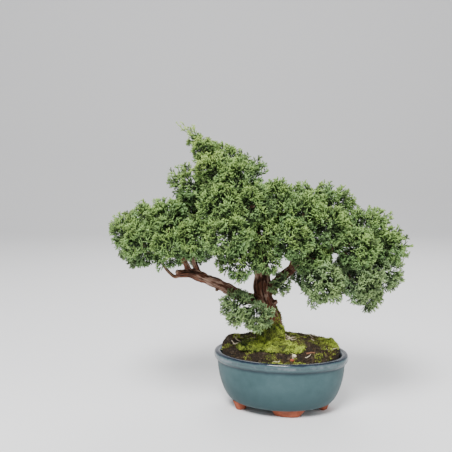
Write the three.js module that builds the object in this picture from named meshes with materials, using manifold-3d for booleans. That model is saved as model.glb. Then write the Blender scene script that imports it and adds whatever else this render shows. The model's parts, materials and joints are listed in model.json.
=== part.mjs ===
// A juniper bonsai of the Kishu kind in its oval glazed pot. Millimetres, +Z up.
// The viewer stands at -Y and +X is to the right. The origin is the centre of the
// footprint of the whole tree, on the surface that the pot's feet stand on.
import * as THREE from 'three';
import { mergeVertices } from 'three/addons/utils/BufferGeometryUtils.js';
import Module from 'manifold-3d';

const wasm = await Module();
wasm.setup();

// Clearance left between pieces that touch on the real tree.
const GAP = 0.3;
// Points of a finished piece that are closer than this are one point.
const WELD = 2e-3;

// The pot: an oval bowl with a rolled lip on four bare clay feet.
const POT = {
  centre: [23, 0],
  turn: THREE.MathUtils.degToRad(-13.5),
  sides: 30,
  widthToLength: 0.75,
  // Half length and height of each turn of the wall, from under the floor, over the lip, to the inner floor.
  profile: [
    [0, 7], [53, 7], [59.6, 14], [64.6, 25], [67.9, 38], [68.8, 51], [72.2, 53.2], [72.6, 58.6],
    [70.6, 61], [65.6, 61], [63.8, 52], [59.8, 30], [54, 18], [44.6, 12], [0, 12],
  ],
  footTop: 10,
  // Place along the length and the width, and the half length and half width of the top of each foot.
  feet: [
    { at: [46, 4], half: [8, 13] },
    { at: [-40, -16], half: [9, 12] },
    { at: [-12, 28.5], half: [21, 8] },
    { at: [12, -28.5], half: [21, 8] },
  ],
  footTaper: 0.6,
  holeRadius: 6,
  holeOffset: 21,
  holeDepth: 20,
  roundSides: 10,
};

// A square of drainage netting over each hole in the pot's floor.
const NET = { side: 18, thickness: 0.8, cells: 2, cellSide: 6.4, base: 12.3 };

// The soil: a plug that follows the pot's wall and rises to a mound round the trunk.
const SOIL = {
  sides: 24,
  profile: [
    [0, 13.4], [42.8, 13.4], [52.2, 18.8], [58.1, 30.6], [62.1, 50], [64, 58.3],
    [54, 58.5], [42, 58.5], [28, 58.5], [13, 58.5],
  ],
  topFrom: 58,
  // The mound in the pot's own plan: it falls away to nothing at this half length and half width.
  moundHeight: 15,
  moundAt: [0, 6],
  moundHalf: [72, 47],
  moundPower: 2,
  // A second heap at the left end, in the tree's plan.
  heapHeight: 6,
  heapAt: [-30, 13],
  heapSpread: 11,
  lump: 0.9,
};

// Moss on the soil. Each cushion is made of humps: centre, half length, half width and half height,
// turn, and how far the hump leans from a dome (0) to a cone (1).
const MOSS = {
  moss_trunk_foot: [
    { at: [13, -4, 70], half: [15, 15, 28], turn: 0, skirt: 0.25 },
    { at: [1, -12, 68], half: [25, 15, 8], turn: -0.1, skirt: 0.2 },
  ],
  moss_front: [{ at: [22, -22, 68], half: [26, 12, 7.5], turn: -0.2, skirt: 0.2 }],
  moss_right: [{ at: [70, -3, 65.5], half: [15, 13, 8], turn: -0.2, skirt: 0.2 }],
};
// Height of the tufts, how far up a cushion they start, and how its corners vary.
const MOSS_TUFT = 2.2;
const MOSS_CROWN = 0.5;
const MOSS_LEAST = 0.9;
const MOSS_SWING = 0.2;

// Small things that lie on the soil: centre, half sizes and turn.
const LITTER = {
  clay_granule: { at: [32, -40.6, 61.7], half: [3, 2.4, 1.9], turn: 0.4, colour: 0xc05a2e },
  pale_pebble: { at: [34.5, -37, 65.1], half: [2.6, 2.1, 2.2], turn: 1.1, colour: 0xd9cba8 },
  dry_twiglet: { at: [52.5, -32, 66.8], half: [6.5, 1.1, 1.2], turn: 0.35, colour: 0x8a4a2c },
};

// How the corners of a stone or stick vary in their distance from its middle.
const LITTER_LEAST = 0.85;
const LITTER_SWING = 0.25;

// Trunk and branches. Each point is [x, y, z, radius]; flute is the depth of the ridges in the
// bark as a share of the radius, ridges is how many run round it.
const LIMBS = {
  trunk: {
    sides: 9, steps: 15, flute: 0.1, ridges: 3,
    points: [
      [16, 2, 44, 9], [16, 2, 64, 13], [15, 2, 78, 12], [13.5, 2, 90, 10.6], [11, 1, 104, 9.6],
      [7, 0, 114, 9.2], [3.8, 0, 126, 8.6], [3, 0, 144, 8.2], [1, 1, 165, 7], [-4, 3, 190, 6],
      [-9, 4, 210, 5.2], [-20, 6, 228, 4.5], [-36, 5, 248, 3.6], [-50, 3, 262, 2.6], [-63, 2, 276, 1.7],
    ],
  },
  left_branch: {
    sides: 7, steps: 10, flute: 0.09, ridges: 3,
    points: [
      [6, -1, 119, 6], [-9, -4, 118, 5.8], [-23, -7, 123, 5.7], [-36, -10, 131, 5.6],
      [-50, -13, 138, 5.4], [-63, -15, 144, 5.2], [-75, -17, 148, 4.8], [-84, -18, 147.5, 4],
    ],
  },
  left_riser: {
    sides: 5, steps: 5, flute: 0, ridges: 0,
    points: [
      [-63, -15, 144, 3.2], [-69, -12, 158, 3], [-72, -6, 172, 2.7], [-84, 0, 183, 2.4],
      [-104, 4, 188, 1.9],
    ],
  },
  left_front: {
    sides: 5, steps: 5, flute: 0, ridges: 0,
    points: [
      [-74, -17, 148, 3.1], [-78, -18, 158, 2.9], [-88, -20, 167, 2.6], [-105, -18, 172, 2.2],
      [-124, -16, 178, 1.7],
    ],
  },
  left_twig: {
    sides: 5, steps: 6, flute: 0, ridges: 0,
    points: [
      [-81, -18, 148, 2.6], [-89, -17, 144, 2.2], [-96, -12, 148, 2], [-104, -3, 156, 1.8],
      [-116, 10, 161, 1.5],
    ],
  },
  front_limb: {
    sides: 5, steps: 5, flute: 0, ridges: 0,
    points: [[2, 0, 160, 4], [-6, -14, 166, 3.4], [-12, -28, 176, 2.9], [-18, -38, 193, 2.2]],
  },
  back_limb: {
    sides: 5, steps: 5, flute: 0, ridges: 0,
    points: [
      [0, 1, 168, 4], [-4, 16, 178, 3.4], [-18, 22, 192, 2.9], [-42, 24, 200, 2.4],
      [-58, 26, 198, 1.9],
    ],
  },
  apex_side: {
    sides: 5, steps: 4, flute: 0, ridges: 0,
    points: [[-24, 6, 233, 3], [-36, 2, 236, 2.6], [-50, 2, 240, 2]],
  },
  right_branch: {
    sides: 7, steps: 11, flute: 0.08, ridges: 3,
    points: [
      [5, 0, 123, 6], [13, -1, 128.5, 5.6], [20, -2, 137, 5.2], [27, -4, 144, 4.6], [38, -7, 153.5, 4.2],
      [56, -9, 164, 3.6], [76, -10, 174, 3.1], [96, -8, 178, 2.6], [110, -2, 178, 2.1],
    ],
  },
  right_low: {
    sides: 5, steps: 5, flute: 0, ridges: 0,
    points: [
      [56, -9, 164, 3.2], [66, -16, 158, 2.9], [78, -18, 150, 2.6], [94, -16, 143, 2.2],
      [106, -15, 138, 1.8],
    ],
  },
  right_crown: {
    sides: 6, steps: 7, flute: 0.06, ridges: 3,
    points: [[1, 1, 172, 4.6], [14, 4, 184, 4], [30, 2, 194, 3.5], [48, -5, 199, 3], [62, -8, 203, 2.2]],
  },
  right_back: {
    sides: 5, steps: 6, flute: 0, ridges: 0,
    points: [
      [34, -6, 152, 3.4], [44, 8, 158, 3], [58, 24, 164, 2.7], [78, 26, 166, 2.3],
      [100, 22, 160, 1.9],
    ],
  },
};

// How far the ridges in the bark turn round a limb over its length, in radians.
const FLUTE_TWIST = 7;

// Roots that part from the foot of the trunk inside the soil, and stubs of old cuts.
const ROOT_SIDES = 4;
const ROOT_STEPS = 2;
const ROOTS = [
  [[14, 0, 62, 6], [-2, -9, 50, 4], [-14, -14, 36, 2]],
  [[18, 0, 62, 6], [36, -5, 50, 4], [50, -8, 36, 2]],
  [[16, 4, 62, 6], [20, 16, 48, 4], [22, 24, 34, 2]],
];
const STUB_SIDES = 4;
const STUBS = [
  [[10, 0, 110, 4], [19.5, -2, 115, 2.6]],
  [[-50, -13, 138, 3], [-52, -16, 145, 1.7]],
  [[-24, -7, 123, 3], [-22, -10, 130.5, 1.6]],
  [[-44, -12, 135, 3], [-46, -12, 127.5, 1.4]],
  [[-84, -18, 147.5, 3.2], [-88, -20, 150.5, 2.4]],
];

// How steeply the needles of a bunch sweep upwards, against one part outwards; a hanging bunch has its own.
const RISE = 1.2;

// Foliage bunches by the limb that carries them. Each bunch is [x, y, z, radius], and a fifth
// entry, where there is one, is how far a leading shoot reaches past that radius.
const FOLIAGE = {
  apex: {
    limb: 'trunk', tone: 'fresh',
    bunches: [
      [-68, 1, 287, 8.5, [-13.4, 0, 16.2]], [-59, -11, 276, 14], [-53, 15, 273, 16], [-38, 24, 263, 22],
      [-47, -22, 253, 23],
    ],
  },
  apex_left: { limb: 'apex_side', tone: 'green', bunches: [[-71, -4, 234, 23.5, [-7.5, 0, 7.5]]] },
  crown: {
    limb: 'trunk', tone: 'green',
    bunches: [[-24, -34, 244, 26], [-17, 30, 247, 24, [5, 0, 4]], [-49, 34, 226, 26], [-10, -50, 219, 26]],
  },
  left_pad: {
    limb: 'left_riser', tone: 'green',
    bunches: [
      [-126, 8, 197, 22, [-1, 0, 4]], [-95, -28, 203, 25], [-106, 36, 190, 26], [-73, 14, 205, 25],
    ],
  },
  left_front: {
    limb: 'left_front', tone: 'green',
    bunches: [
      [-138, -18, 190, 20, [-1, 0, 4]], [-119, -36, 180, 25], [-92, -46, 177, 23], [-66, -42, 186, 25],
    ],
  },
  left_under: { limb: 'left_twig', tone: 'olive', rise: 0, bunches: [[-133, 26, 169, 23]] },
  left_back: { limb: 'back_limb', tone: 'olive', bunches: [[-69, 28, 169, 24], [-22, 44, 196, 28]] },
  centre: {
    limb: 'front_limb', tone: 'green',
    bunches: [
      [-34, -64, 191, 27], [-22, -54, 166, 23, [-3, 0, -5]], [0, -46, 193, 25], [-40, -46, 219, 27],
      [3, -46, 170, 22],
    ],
  },
  right_crown: {
    limb: 'right_crown', tone: 'green',
    bunches: [
      [16, -30, 220, 27], [18, 36, 216, 27], [41, -40, 211, 27], [53, 22, 215, 26, [3, 0, 6]],
      [78, -6, 217, 22, [0, 0, 4]], [65, -46, 199, 25], [111, -14, 194, 24, [6, 0, 3]],
    ],
  },
  right_pad: {
    limb: 'right_branch', tone: 'green',
    bunches: [
      [28, -54, 188, 24], [94, -48, 177, 25], [127, -20, 175, 25, [7, 0, 1]], [50, -38, 168, 24],
    ],
  },
  right_back: {
    limb: 'right_back', tone: 'olive',
    bunches: [
      [37, 46, 180, 27], [87, 38, 188, 27], [125, 34, 166, 26], [103, 24, 137, 25],
      [57, 16, 142, 24],
    ],
  },
  right_low: {
    limb: 'right_low', tone: 'blue', rise: -0.3,
    bunches: [
      [128, -22, 152, 22], [99, -44, 146, 24], [61, -46, 144, 25, [-7, 0, -4]], [113, -14, 123, 16],
    ],
  },
  fork_tuft: { limb: 'right_branch', tone: 'blue', rise: -1, bunches: [[21, -20, 138, 13]] },
  low_bunch: {
    limb: 'left_branch', tone: 'blue', rise: -0.6,
    bunches: [[-22, -27, 114, 21], [-4, -30, 106, 17.5]],
  },
};

// The core of a bunch: its size as a share of the bunch's radius, and how far that varies.
const CORE_SHARE = 0.5;
const CORE_SWING = 0.14;
// The slim waist where a face's three needles part: how far out it lies, and its radius.
const WAIST_SHARE = 0.3;
const WAIST_RADIUS = 1.7;
// A face with less room than this many times its own distance gets one short point.
const SLENDER_FROM = 1.85;
// So does a face that looks away from the sweep by more than this, at this share of the radius.
const UNDER_FROM = -0.36;
const UNDER_SHARE = 0.8;
// Length of a needle as a share of the radius, and how far each fans from the face's axis.
const NEEDLE_SHORT = 0.86;
const NEEDLE_SWING = 0.26;
const SIDE_FROM = 0.35;
const SIDE_SWING = 0.3;
const FAN_LEAST = 0.6;
const FAN_SWING = 0.3;
// The higher this is, the slimmer the cone of needles that makes a leading shoot.
const LEAD_POWER = 6;
// Share of the turn of each needle towards the sweep.
const SWEEP = 0.45;
// A needle whose room is under this share of the face's own is bent back in these steps.
const CLEAR_SHARE = 0.8;
const BENDS = [1, 0.7, 0.4, 0.15];
const CELL_GAP = 0.25;

// Twigs that run from a limb to the foot of each bunch.
const TWIG = {
  sides: 3, stepLength: 24, baseShare: 0.55, baseExtra: 0.4, baseMost: 2.2, tip: 1.3,
  setBack: 0.3, rise: 0.1, follow: 0.12,
};
const FOOT_SHARE = 0.55;
const FOOT_GAP = 0.35;
const SAMPLES = 60;

const FINISHES = {
  glaze: { color: 0x6f8f94, roughness: 0.3, metalness: 0 },
  netting: { color: 0x2b2e30, roughness: 0.7, metalness: 0 },
  soil: { color: 0x3b2a1d, roughness: 0.95, metalness: 0 },
  moss: { color: 0x7d9a2c, roughness: 0.95, metalness: 0 },
  bark: { color: 0x7a4c35, roughness: 0.9, metalness: 0 },
  fresh: { color: 0x84ab5c, roughness: 0.75, metalness: 0 },
  green: { color: 0x5d8450, roughness: 0.8, metalness: 0 },
  blue: { color: 0x648f74, roughness: 0.8, metalness: 0 },
  olive: { color: 0x6b7a48, roughness: 0.85, metalness: 0 },
};

/** A repeatable source of random numbers from 0 to 1. */
function seeded(seed) {
  let state = seed >>> 0;
  return () => {
    state = (state + 0x6d2b79f5) >>> 0;
    let t = Math.imul(state ^ (state >>> 15), state | 1);
    t ^= t + Math.imul(t ^ (t >>> 7), t | 61);
    return ((t ^ (t >>> 14)) >>> 0) / 4294967296;
  };
}

/** A number from name, so that each piece has its own run of random numbers. */
function seedOf(name) {
  return [...name].reduce((sum, letter) => Math.imul(sum, 31) + letter.charCodeAt(0), 17);
}

/** The solid of a closed geometry, with points closer than near joined and flat slivers dropped. */
function solidOf(geometry, near = 1e-4) {
  const bare = new THREE.BufferGeometry();
  bare.setAttribute('position', geometry.getAttribute('position'));
  if (geometry.index) bare.setIndex(geometry.index);
  const merged = mergeVertices(bare, near);
  const corners = merged.index.array;
  const kept = [];
  for (let i = 0; i < corners.length; i += 3) {
    const [a, b, c] = [corners[i], corners[i + 1], corners[i + 2]];
    if (a !== b && b !== c && c !== a) kept.push(a, b, c);
  }
  return new wasm.Manifold(new wasm.Mesh({
    numProp: 3,
    vertProperties: new Float32Array(merged.getAttribute('position').array),
    triVerts: new Uint32Array(kept),
  }));
}

/** The faceted geometry of a solid. */
function geometryOf(solid) {
  const mesh = solid.getMesh();
  const indexed = new THREE.BufferGeometry();
  indexed.setAttribute('position', new THREE.BufferAttribute(new Float32Array(mesh.vertProperties), 3));
  indexed.setIndex(new THREE.BufferAttribute(new Uint32Array(mesh.triVerts), 1));
  const flat = indexed.toNonIndexed();
  flat.computeVertexNormals();
  return flat;
}

/** The largest of the separate bodies of a solid: loose scraps are dropped and sealed hollows filled. */
function mainBody(solid) {
  return solid.decompose().reduce((best, body) => (body.volume() > best.volume() ? body : best));
}

const join = (solids) => solids.reduce((sum, solid) => sum.add(solid));

/** Turns geometry about Z, then moves it to a place. */
function place(geometry, turn, [x, y, z]) {
  return geometry.rotateZ(turn).translate(x, y, z);
}

/** A lathe turned about Z, squeezed to the pot's oval, with its outline closed at the axis. */
function ovalLathe(profile, sides) {
  const outline = profile.map(([radius, height]) => new THREE.Vector2(radius, height));
  const geometry = new THREE.LatheGeometry(outline, sides).rotateX(Math.PI / 2);
  return geometry.scale(1, POT.widthToLength, 1);
}

/** A point of the pot's own plan, turned and moved with the pot. */
function onPot([along, across]) {
  const plan = new THREE.Vector2(along, across).rotateAround(new THREE.Vector2(0, 0), POT.turn);
  return [plan.x + POT.centre[0], plan.y + POT.centre[1]];
}

/** One foot of the pot: an oval block that narrows to its flat underside. */
function footSolid({ at, half }) {
  const block = new THREE.CylinderGeometry(1, POT.footTaper, POT.footTop, POT.roundSides);
  const geometry = block.rotateX(Math.PI / 2);
  geometry.scale(half[0], half[1], 1);
  return solidOf(place(geometry, POT.turn, [...onPot(at), POT.footTop / 2]));
}

/** The pot with its feet joined on and its drainage holes cut. */
function potSolid() {
  const bowl = solidOf(place(ovalLathe(POT.profile, POT.sides), POT.turn, [...POT.centre, 0]));
  const holes = [-POT.holeOffset, POT.holeOffset].map((along) => {
    const drill = new THREE.CylinderGeometry(POT.holeRadius, POT.holeRadius, POT.holeDepth, POT.roundSides);
    return solidOf(place(drill.rotateX(Math.PI / 2), POT.turn, [...onPot([along, 0]), POT.holeDepth / 2]));
  });
  return join([bowl, ...POT.feet.map(footSolid)]).subtract(join(holes));
}

/** A square of netting with a grid of square cells, flat on the pot's floor. */
function netSolid(along) {
  const pitch = NET.side / NET.cells;
  const block = (side, height, x, y) => solidOf(place(
    new THREE.BoxGeometry(side, side, height).translate(x, y, 0), POT.turn,
    [...onPot([along, 0]), NET.base + NET.thickness / 2]));
  const cells = [];
  for (let i = 0; i < NET.cells; i++) {
    for (let j = 0; j < NET.cells; j++) {
      const [x, y] = [i, j].map((k) => (k + 0.5) * pitch - NET.side / 2);
      cells.push(block(NET.cellSide, 2 * NET.thickness, x, y));
    }
  }
  return block(NET.side, NET.thickness, 0, 0).subtract(join(cells));
}

/** How far the soil stands above its rim level at a place: a broad mound, a heap and low lumps. */
function moundAt(x, y) {
  const origin = new THREE.Vector2(0, 0);
  const plan = new THREE.Vector2(x - POT.centre[0], y - POT.centre[1]).rotateAround(origin, -POT.turn);
  const along = (plan.x - SOIL.moundAt[0]) / SOIL.moundHalf[0];
  const across = (plan.y - SOIL.moundAt[1]) / SOIL.moundHalf[1];
  const mound = SOIL.moundHeight * (1 - Math.min(1, along ** 2 + across ** 2) ** SOIL.moundPower);
  const away = Math.hypot(x - SOIL.heapAt[0], y - SOIL.heapAt[1]) / SOIL.heapSpread;
  const lumps = SOIL.lump * Math.sin(x * 0.31 + y * 0.17) * Math.cos(y * 0.37 - x * 0.11);
  return mound + SOIL.heapHeight * Math.exp(-away * away) + lumps;
}

/** The soil, raised by lift, before the trunk and roots are let into it. */
function soilBlock(lift = 0) {
  const crown = SOIL.profile[SOIL.profile.length - 1][1];
  const geometry = place(ovalLathe([...SOIL.profile, [0, crown]], SOIL.sides), POT.turn, [...POT.centre, 0]);
  const points = geometry.getAttribute('position');
  for (let i = 0; i < points.count; i++) {
    const [x, y, z] = [points.getX(i), points.getY(i), points.getZ(i)];
    if (z > SOIL.topFrom) points.setZ(i, z + moundAt(x, y));
  }
  return solidOf(geometry.translate(0, 0, lift));
}

/** One hump of moss: a dome whose upper faces are raised to tufts, or its room when grow is set. */
function mossHump({ at, half, turn, skirt }, random, grow) {
  const dome = mergeVertices(stripped(new THREE.IcosahedronGeometry(1, 1)), 1e-4);
  const points = dome.getAttribute('position');
  const corner = [];
  for (let i = 0; i < points.count; i++) {
    const swell = MOSS_LEAST + MOSS_SWING * random();
    const way = new THREE.Vector3().fromBufferAttribute(points, i);
    if (way.z > 0) way.z = THREE.MathUtils.lerp(way.z, 1 - Math.hypot(way.x, way.y), skirt);
    corner.push(way.multiplyScalar(swell).multiply(new THREE.Vector3(...half)));
  }
  const soup = [];
  for (let i = 0; i < dome.index.count; i += 3) {
    const [a, b, c] = [0, 1, 2].map((k) => corner[dome.index.getX(i + k)]);
    const middle = new THREE.Vector3().add(a).add(b).add(c).divideScalar(3);
    const tip = middle.clone().setLength(middle.length() + MOSS_TUFT * (0.5 + random()));
    if (middle.z > MOSS_CROWN * half[2]) soup.push(a, b, tip, b, c, tip, c, a, tip);
    else soup.push(a, b, c);
  }
  const geometry = new THREE.BufferGeometry().setFromPoints(soup);
  const widen = 1 + grow / Math.min(...half);
  return solidOf(place(geometry.scale(widen, widen, widen), turn, at));
}

/** A moss cushion before it is cut: its humps joined, or its room when grow is set. */
function mossCushion(name, humps, grow = 0) {
  const random = seeded(seedOf(name));
  return join(humps.map((hump) => mossHump(hump, random, grow)));
}

/** A small rough stone or stick, before it is cut to lie on what is below it. */
function litterSolid(name, { at, half, turn }) {
  const random = seeded(seedOf(name));
  const lump = mergeVertices(stripped(new THREE.IcosahedronGeometry(1, 0)), 1e-4);
  const points = lump.getAttribute('position');
  for (let i = 0; i < points.count; i++) {
    const size = LITTER_LEAST + LITTER_SWING * random();
    const [x, y, z] = [points.getX(i), points.getY(i), points.getZ(i)];
    points.setXYZ(i, x * half[0] * size, y * half[1] * size, z * half[2] * size);
  }
  return solidOf(place(lump, turn, at));
}

/** Position alone, so that shared corners can be joined. */
function stripped(geometry) {
  geometry.deleteAttribute('normal');
  geometry.deleteAttribute('uv');
  return geometry;
}

/** The smooth curve through the centres of a row of points. */
function curveThrough(points) {
  const centres = points.map(([x, y, z]) => new THREE.Vector3(x, y, z));
  return new THREE.CatmullRomCurve3(centres, false, 'centripetal');
}

/**
 * A limb: a capped cylinder carried along a smooth curve. Each point is [x, y, z, radius];
 * grow widens and lengthens the limb by that much, for the hole that it stands in.
 */
function limbSolid({ points, sides, steps, flute = 0, ridges = 0 }, grow = 0) {
  const last = points.length - 1;
  const widen = grow / Math.cos(Math.PI / sides);
  const curve = curveThrough(points);
  const frames = curve.computeFrenetFrames(steps);
  const geometry = new THREE.CylinderGeometry(1, 1, 1, sides, steps);
  const position = geometry.getAttribute('position');
  const normalAt = new THREE.Vector3();
  const binormalAt = new THREE.Vector3();
  for (let i = 0; i < position.count; i++) {
    const share = Math.min(1, Math.max(0, position.getY(i) + 0.5));
    const step = Math.round(share * steps);
    const t = curve.getUtoTmapping(share);
    const from = Math.min(Math.floor(t * last), last - 1);
    const radius = THREE.MathUtils.lerp(points[from][3], points[from + 1][3], t * last - from) + widen;
    const angle = Math.atan2(position.getZ(i), position.getX(i));
    const fluting = Math.cos(ridges * angle + FLUTE_TWIST * share);
    const knots = Math.sin(5 * step + 2 * angle) / 2;
    const ridge = 1 + flute * (fluting + knots);
    const spread = Math.hypot(position.getX(i), position.getZ(i)) * radius * ridge;
    normalAt.copy(frames.normals[step]).multiplyScalar(spread * Math.cos(angle));
    binormalAt.copy(frames.binormals[step]).multiplyScalar(-spread * Math.sin(angle));
    const centre = curve.getPointAt(share).add(normalAt).add(binormalAt);
    if (step === 0) centre.addScaledVector(frames.tangents[0], -grow);
    if (step === steps) centre.addScaledVector(frames.tangents[steps], grow);
    position.setXYZ(i, centre.x, centre.y, centre.z);
  }
  return solidOf(geometry);
}

/**
 * The twig of a bunch: it leaves the limb a little before the limb's nearest point, arches
 * over and ends at the foot of the bunch. The foot is kept on the bunch for its own shape.
 */
function twigFor(bunch) {
  const { centre, radius, cell } = bunch;
  const rows = LIMBS[bunch.limb].points;
  const curve = curveThrough(rows);
  const samples = curve.getPoints(SAMPLES);
  const distances = samples.map((point) => point.distanceTo(centre));
  const away = Math.min(...distances);
  const setBack = Math.round((TWIG.setBack * away * SAMPLES) / curve.getLength());
  const back = Math.max(1, distances.indexOf(away) - setBack);
  const root = samples[back];
  const span = Math.min(Math.floor((back / SAMPLES) * (rows.length - 1)), rows.length - 2);
  const base = Math.min(TWIG.baseMost, rows[span + 1][3] * TWIG.baseShare + TWIG.baseExtra);
  const reach = root.distanceTo(centre);
  const footLength = Math.min(FOOT_SHARE * radius, reach / 2);
  const middle = root.clone().lerp(centre, 0.5 * (1 - footLength / reach));
  const bow = reach - footLength;
  middle.addScaledVector(curve.getTangent(back / SAMPLES), TWIG.follow * bow);
  middle.z += TWIG.rise * bow;
  const way = middle.clone().sub(centre).normalize();
  bunch.foot = way.clone().multiplyScalar(lengthIn(cell, way, footLength));
  const end = centre.clone().add(bunch.foot);
  return {
    points: [
      [...root.toArray(), base],
      [...middle.toArray(), (base + TWIG.tip) / 2],
      [...end.toArray(), TWIG.tip],
    ],
    sides: TWIG.sides,
    steps: Math.max(2, Math.round(end.distanceTo(root) / TWIG.stepLength)),
  };
}

/** All the wood in one piece, or the room that it needs when grow is set. */
function woodSolid(twigs, grow = 0) {
  const roots = ROOTS.map((points) => ({ points, sides: ROOT_SIDES, steps: ROOT_STEPS }));
  const stubs = STUBS.map((points) => ({ points, sides: STUB_SIDES, steps: 1 }));
  const limbs = [...Object.values(LIMBS), ...roots, ...stubs, ...twigs];
  return mainBody(join(limbs.map((limb) => limbSolid(limb, grow))));
}

/** The bunches of one limb, with their centres, leading shoots and the way their needles sweep. */
function bunchesOf([group, { limb, tone, rise = RISE, bunches }]) {
  return bunches.map(([x, y, z, radius, lead = [0, 0, 0]], i) => ({
    name: `foliage_${group}_${i + 1}`,
    limb,
    tone,
    radius,
    centre: new THREE.Vector3(x, y, z),
    lead: new THREE.Vector3(...lead),
    sweep: new THREE.Vector3(x, y, 0).normalize().setZ(rise).normalize(),
  }));
}

/** The flat faces between a bunch and its neighbours: each is a normal and its distance from the centre. */
function cellOf(bunch, all) {
  return all.filter((other) => other !== bunch).map((other) => {
    const across = other.centre.clone().sub(bunch.centre);
    const apart = across.length();
    const offset = (apart * apart + bunch.radius ** 2 - other.radius ** 2) / (2 * apart) - CELL_GAP;
    return { normal: across.divideScalar(apart), offset };
  });
}

/** A length along a direction from the centre, cut short where it would leave the bunch's own cell. */
function lengthIn(cell, direction, length) {
  return cell.reduce((least, { normal, offset }) => {
    const slope = direction.dot(normal);
    return slope > 0 ? Math.min(least, offset / slope) : least;
  }, length);
}

/**
 * A bunch of foliage: a small lumpy core with twenty faces. Each face is drawn out to a slim
 * stalk that parts in three needles, which fan inside the face's own cone. Where a neighbour
 * is close, and on the underside, the face is drawn out to a single short point. One corner of
 * the core is the foot.
 */
function bunchGeometry(bunch) {
  const random = seeded(seedOf(bunch.name));
  const { radius, lead, foot, cell, sweep } = bunch;
  const footWay = foot.clone().normalize();
  const ball = mergeVertices(stripped(new THREE.IcosahedronGeometry(1, 0)), 1e-4);
  const points = ball.getAttribute('position');
  const lowest = new THREE.Vector3().fromBufferAttribute(points, 0).normalize();
  ball.applyQuaternion(new THREE.Quaternion().setFromUnitVectors(lowest, footWay));
  ball.applyQuaternion(new THREE.Quaternion().setFromAxisAngle(footWay, 2 * Math.PI * random()));
  const leadLength = lead.length();
  const leadWay = leadLength > 0 ? lead.clone().normalize() : new THREE.Vector3();
  const wanted = (way, share) => radius * share + leadLength * Math.max(0, way.dot(leadWay)) ** LEAD_POWER;
  const along = (way, length) => way.clone().multiplyScalar(lengthIn(cell, way, length));

  const core = [foot.clone().setLength(foot.length() - FOOT_GAP)];
  for (let i = 1; i < points.count; i++) {
    const way = new THREE.Vector3().fromBufferAttribute(points, i).normalize();
    core.push(along(way, radius * (CORE_SHARE - CORE_SWING / 2 + CORE_SWING * random())));
  }
  const soup = [];
  for (let i = 0; i < ball.index.count; i += 3) {
    const corners = [0, 1, 2].map((k) => core[ball.index.getX(i + k)]);
    const middle = new THREE.Vector3();
    corners.forEach((corner) => middle.addScaledVector(corner, 1 / 3));
    const axis = middle.clone().normalize();
    const swept = corners.reduce((best, corner) => (corner.dot(sweep) > best.dot(sweep) ? corner : best));
    const open = lengthIn(cell, axis, wanted(axis, 1));
    const under = axis.dot(sweep) < UNDER_FROM;
    if (under || open < middle.length() * SLENDER_FROM) {
      const point = axis.clone().multiplyScalar(under ? Math.min(open, UNDER_SHARE * radius) : open);
      corners.forEach((corner, k) => soup.push(corner, corners[(k + 1) % 3], point));
      continue;
    }
    const tips = corners.map((corner, k) => {
      const across = SIDE_FROM + SIDE_SWING * random();
      const side = corner.clone().lerp(corners[(k + 1) % 3], across).normalize();
      side.lerp(swept.clone().normalize(), SWEEP).normalize();
      const share = NEEDLE_SHORT + NEEDLE_SWING * random();
      const fan = FAN_LEAST + FAN_SWING * random();
      const ways = BENDS.map((part) => axis.clone().lerp(side, fan * part).normalize());
      const clear = ways.find((way) => lengthIn(cell, way, wanted(way, share)) > CLEAR_SHARE * open);
      const way = clear ?? axis;
      return along(way, wanted(way, share));
    });
    const waist = axis.clone().multiplyScalar(middle.length() + WAIST_SHARE * (open - middle.length()));
    const ring = corners.map((corner) => corner.clone().sub(middle).setLength(WAIST_RADIUS).add(waist));
    const hub = waist.clone().addScaledVector(axis, WAIST_RADIUS / 2);
    corners.forEach((corner, k) => {
      const next = (k + 1) % 3;
      soup.push(corner, corners[next], ring[k], corners[next], ring[next], ring[k]);
      soup.push(ring[k], ring[next], tips[k], ring[next], hub, tips[k], hub, ring[k], tips[k]);
    });
  }
  return new THREE.BufferGeometry().setFromPoints(soup).translate(...bunch.centre.toArray());
}

/** A named mesh of a solid in one of the finishes. */
function meshOf(name, solid, finish, colour) {
  const material = new THREE.MeshStandardMaterial({ ...FINISHES[finish], name: finish, flatShading: true });
  if (colour) material.color.set(colour);
  const clean = mainBody(solidOf(geometryOf(solid), WELD));
  const mesh = new THREE.Mesh(geometryOf(clean), material);
  mesh.name = name;
  return mesh;
}

const tree = new THREE.Group();
const bunches = Object.entries(FOLIAGE).flatMap(bunchesOf);
bunches.forEach((bunch) => { bunch.cell = cellOf(bunch, bunches); });
const twigs = bunches.map(twigFor);
const wood = woodSolid(twigs);
const woodRoom = woodSolid(twigs, GAP);
const soilAndWood = soilBlock(GAP).add(woodRoom);

tree.add(meshOf('pot', potSolid(), 'glaze'));
[-POT.holeOffset, POT.holeOffset].forEach((along, i) => {
  tree.add(meshOf(`drain_net_${i + 1}`, netSolid(along), 'netting'));
});
tree.add(meshOf('soil', mainBody(soilBlock().subtract(woodRoom)), 'soil'));
let laid = soilAndWood;
Object.entries(MOSS).forEach(([name, humps]) => {
  tree.add(meshOf(name, mossCushion(name, humps).subtract(laid), 'moss'));
  laid = laid.add(mossCushion(name, humps, GAP));
});
Object.entries(LITTER).forEach(([name, thing]) => {
  tree.add(meshOf(name, litterSolid(name, thing).subtract(laid), 'soil', thing.colour));
});
tree.add(meshOf('trunk_and_branches', wood, 'bark'));
bunches.forEach((bunch) => {
  const solid = solidOf(bunchGeometry(bunch));
  tree.add(meshOf(bunch.name, mainBody(solid.subtract(laid)), bunch.tone));
});

// The origin goes to the middle of the footprint.
const box = new THREE.Box3().setFromObject(tree);
const middle = box.getCenter(new THREE.Vector3());
tree.position.set(-middle.x, -middle.y, -box.min.z);

export default tree;
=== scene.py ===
"""Looks of a kishu juniper bonsai in an oval glazed pot.

Every size here is in millimetres in the tree's own plan, and becomes metres when a mesh is made. Materials
work in metres. The routes of the limbs and the places of the foliage bunches are those of the solid model.
"""

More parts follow.
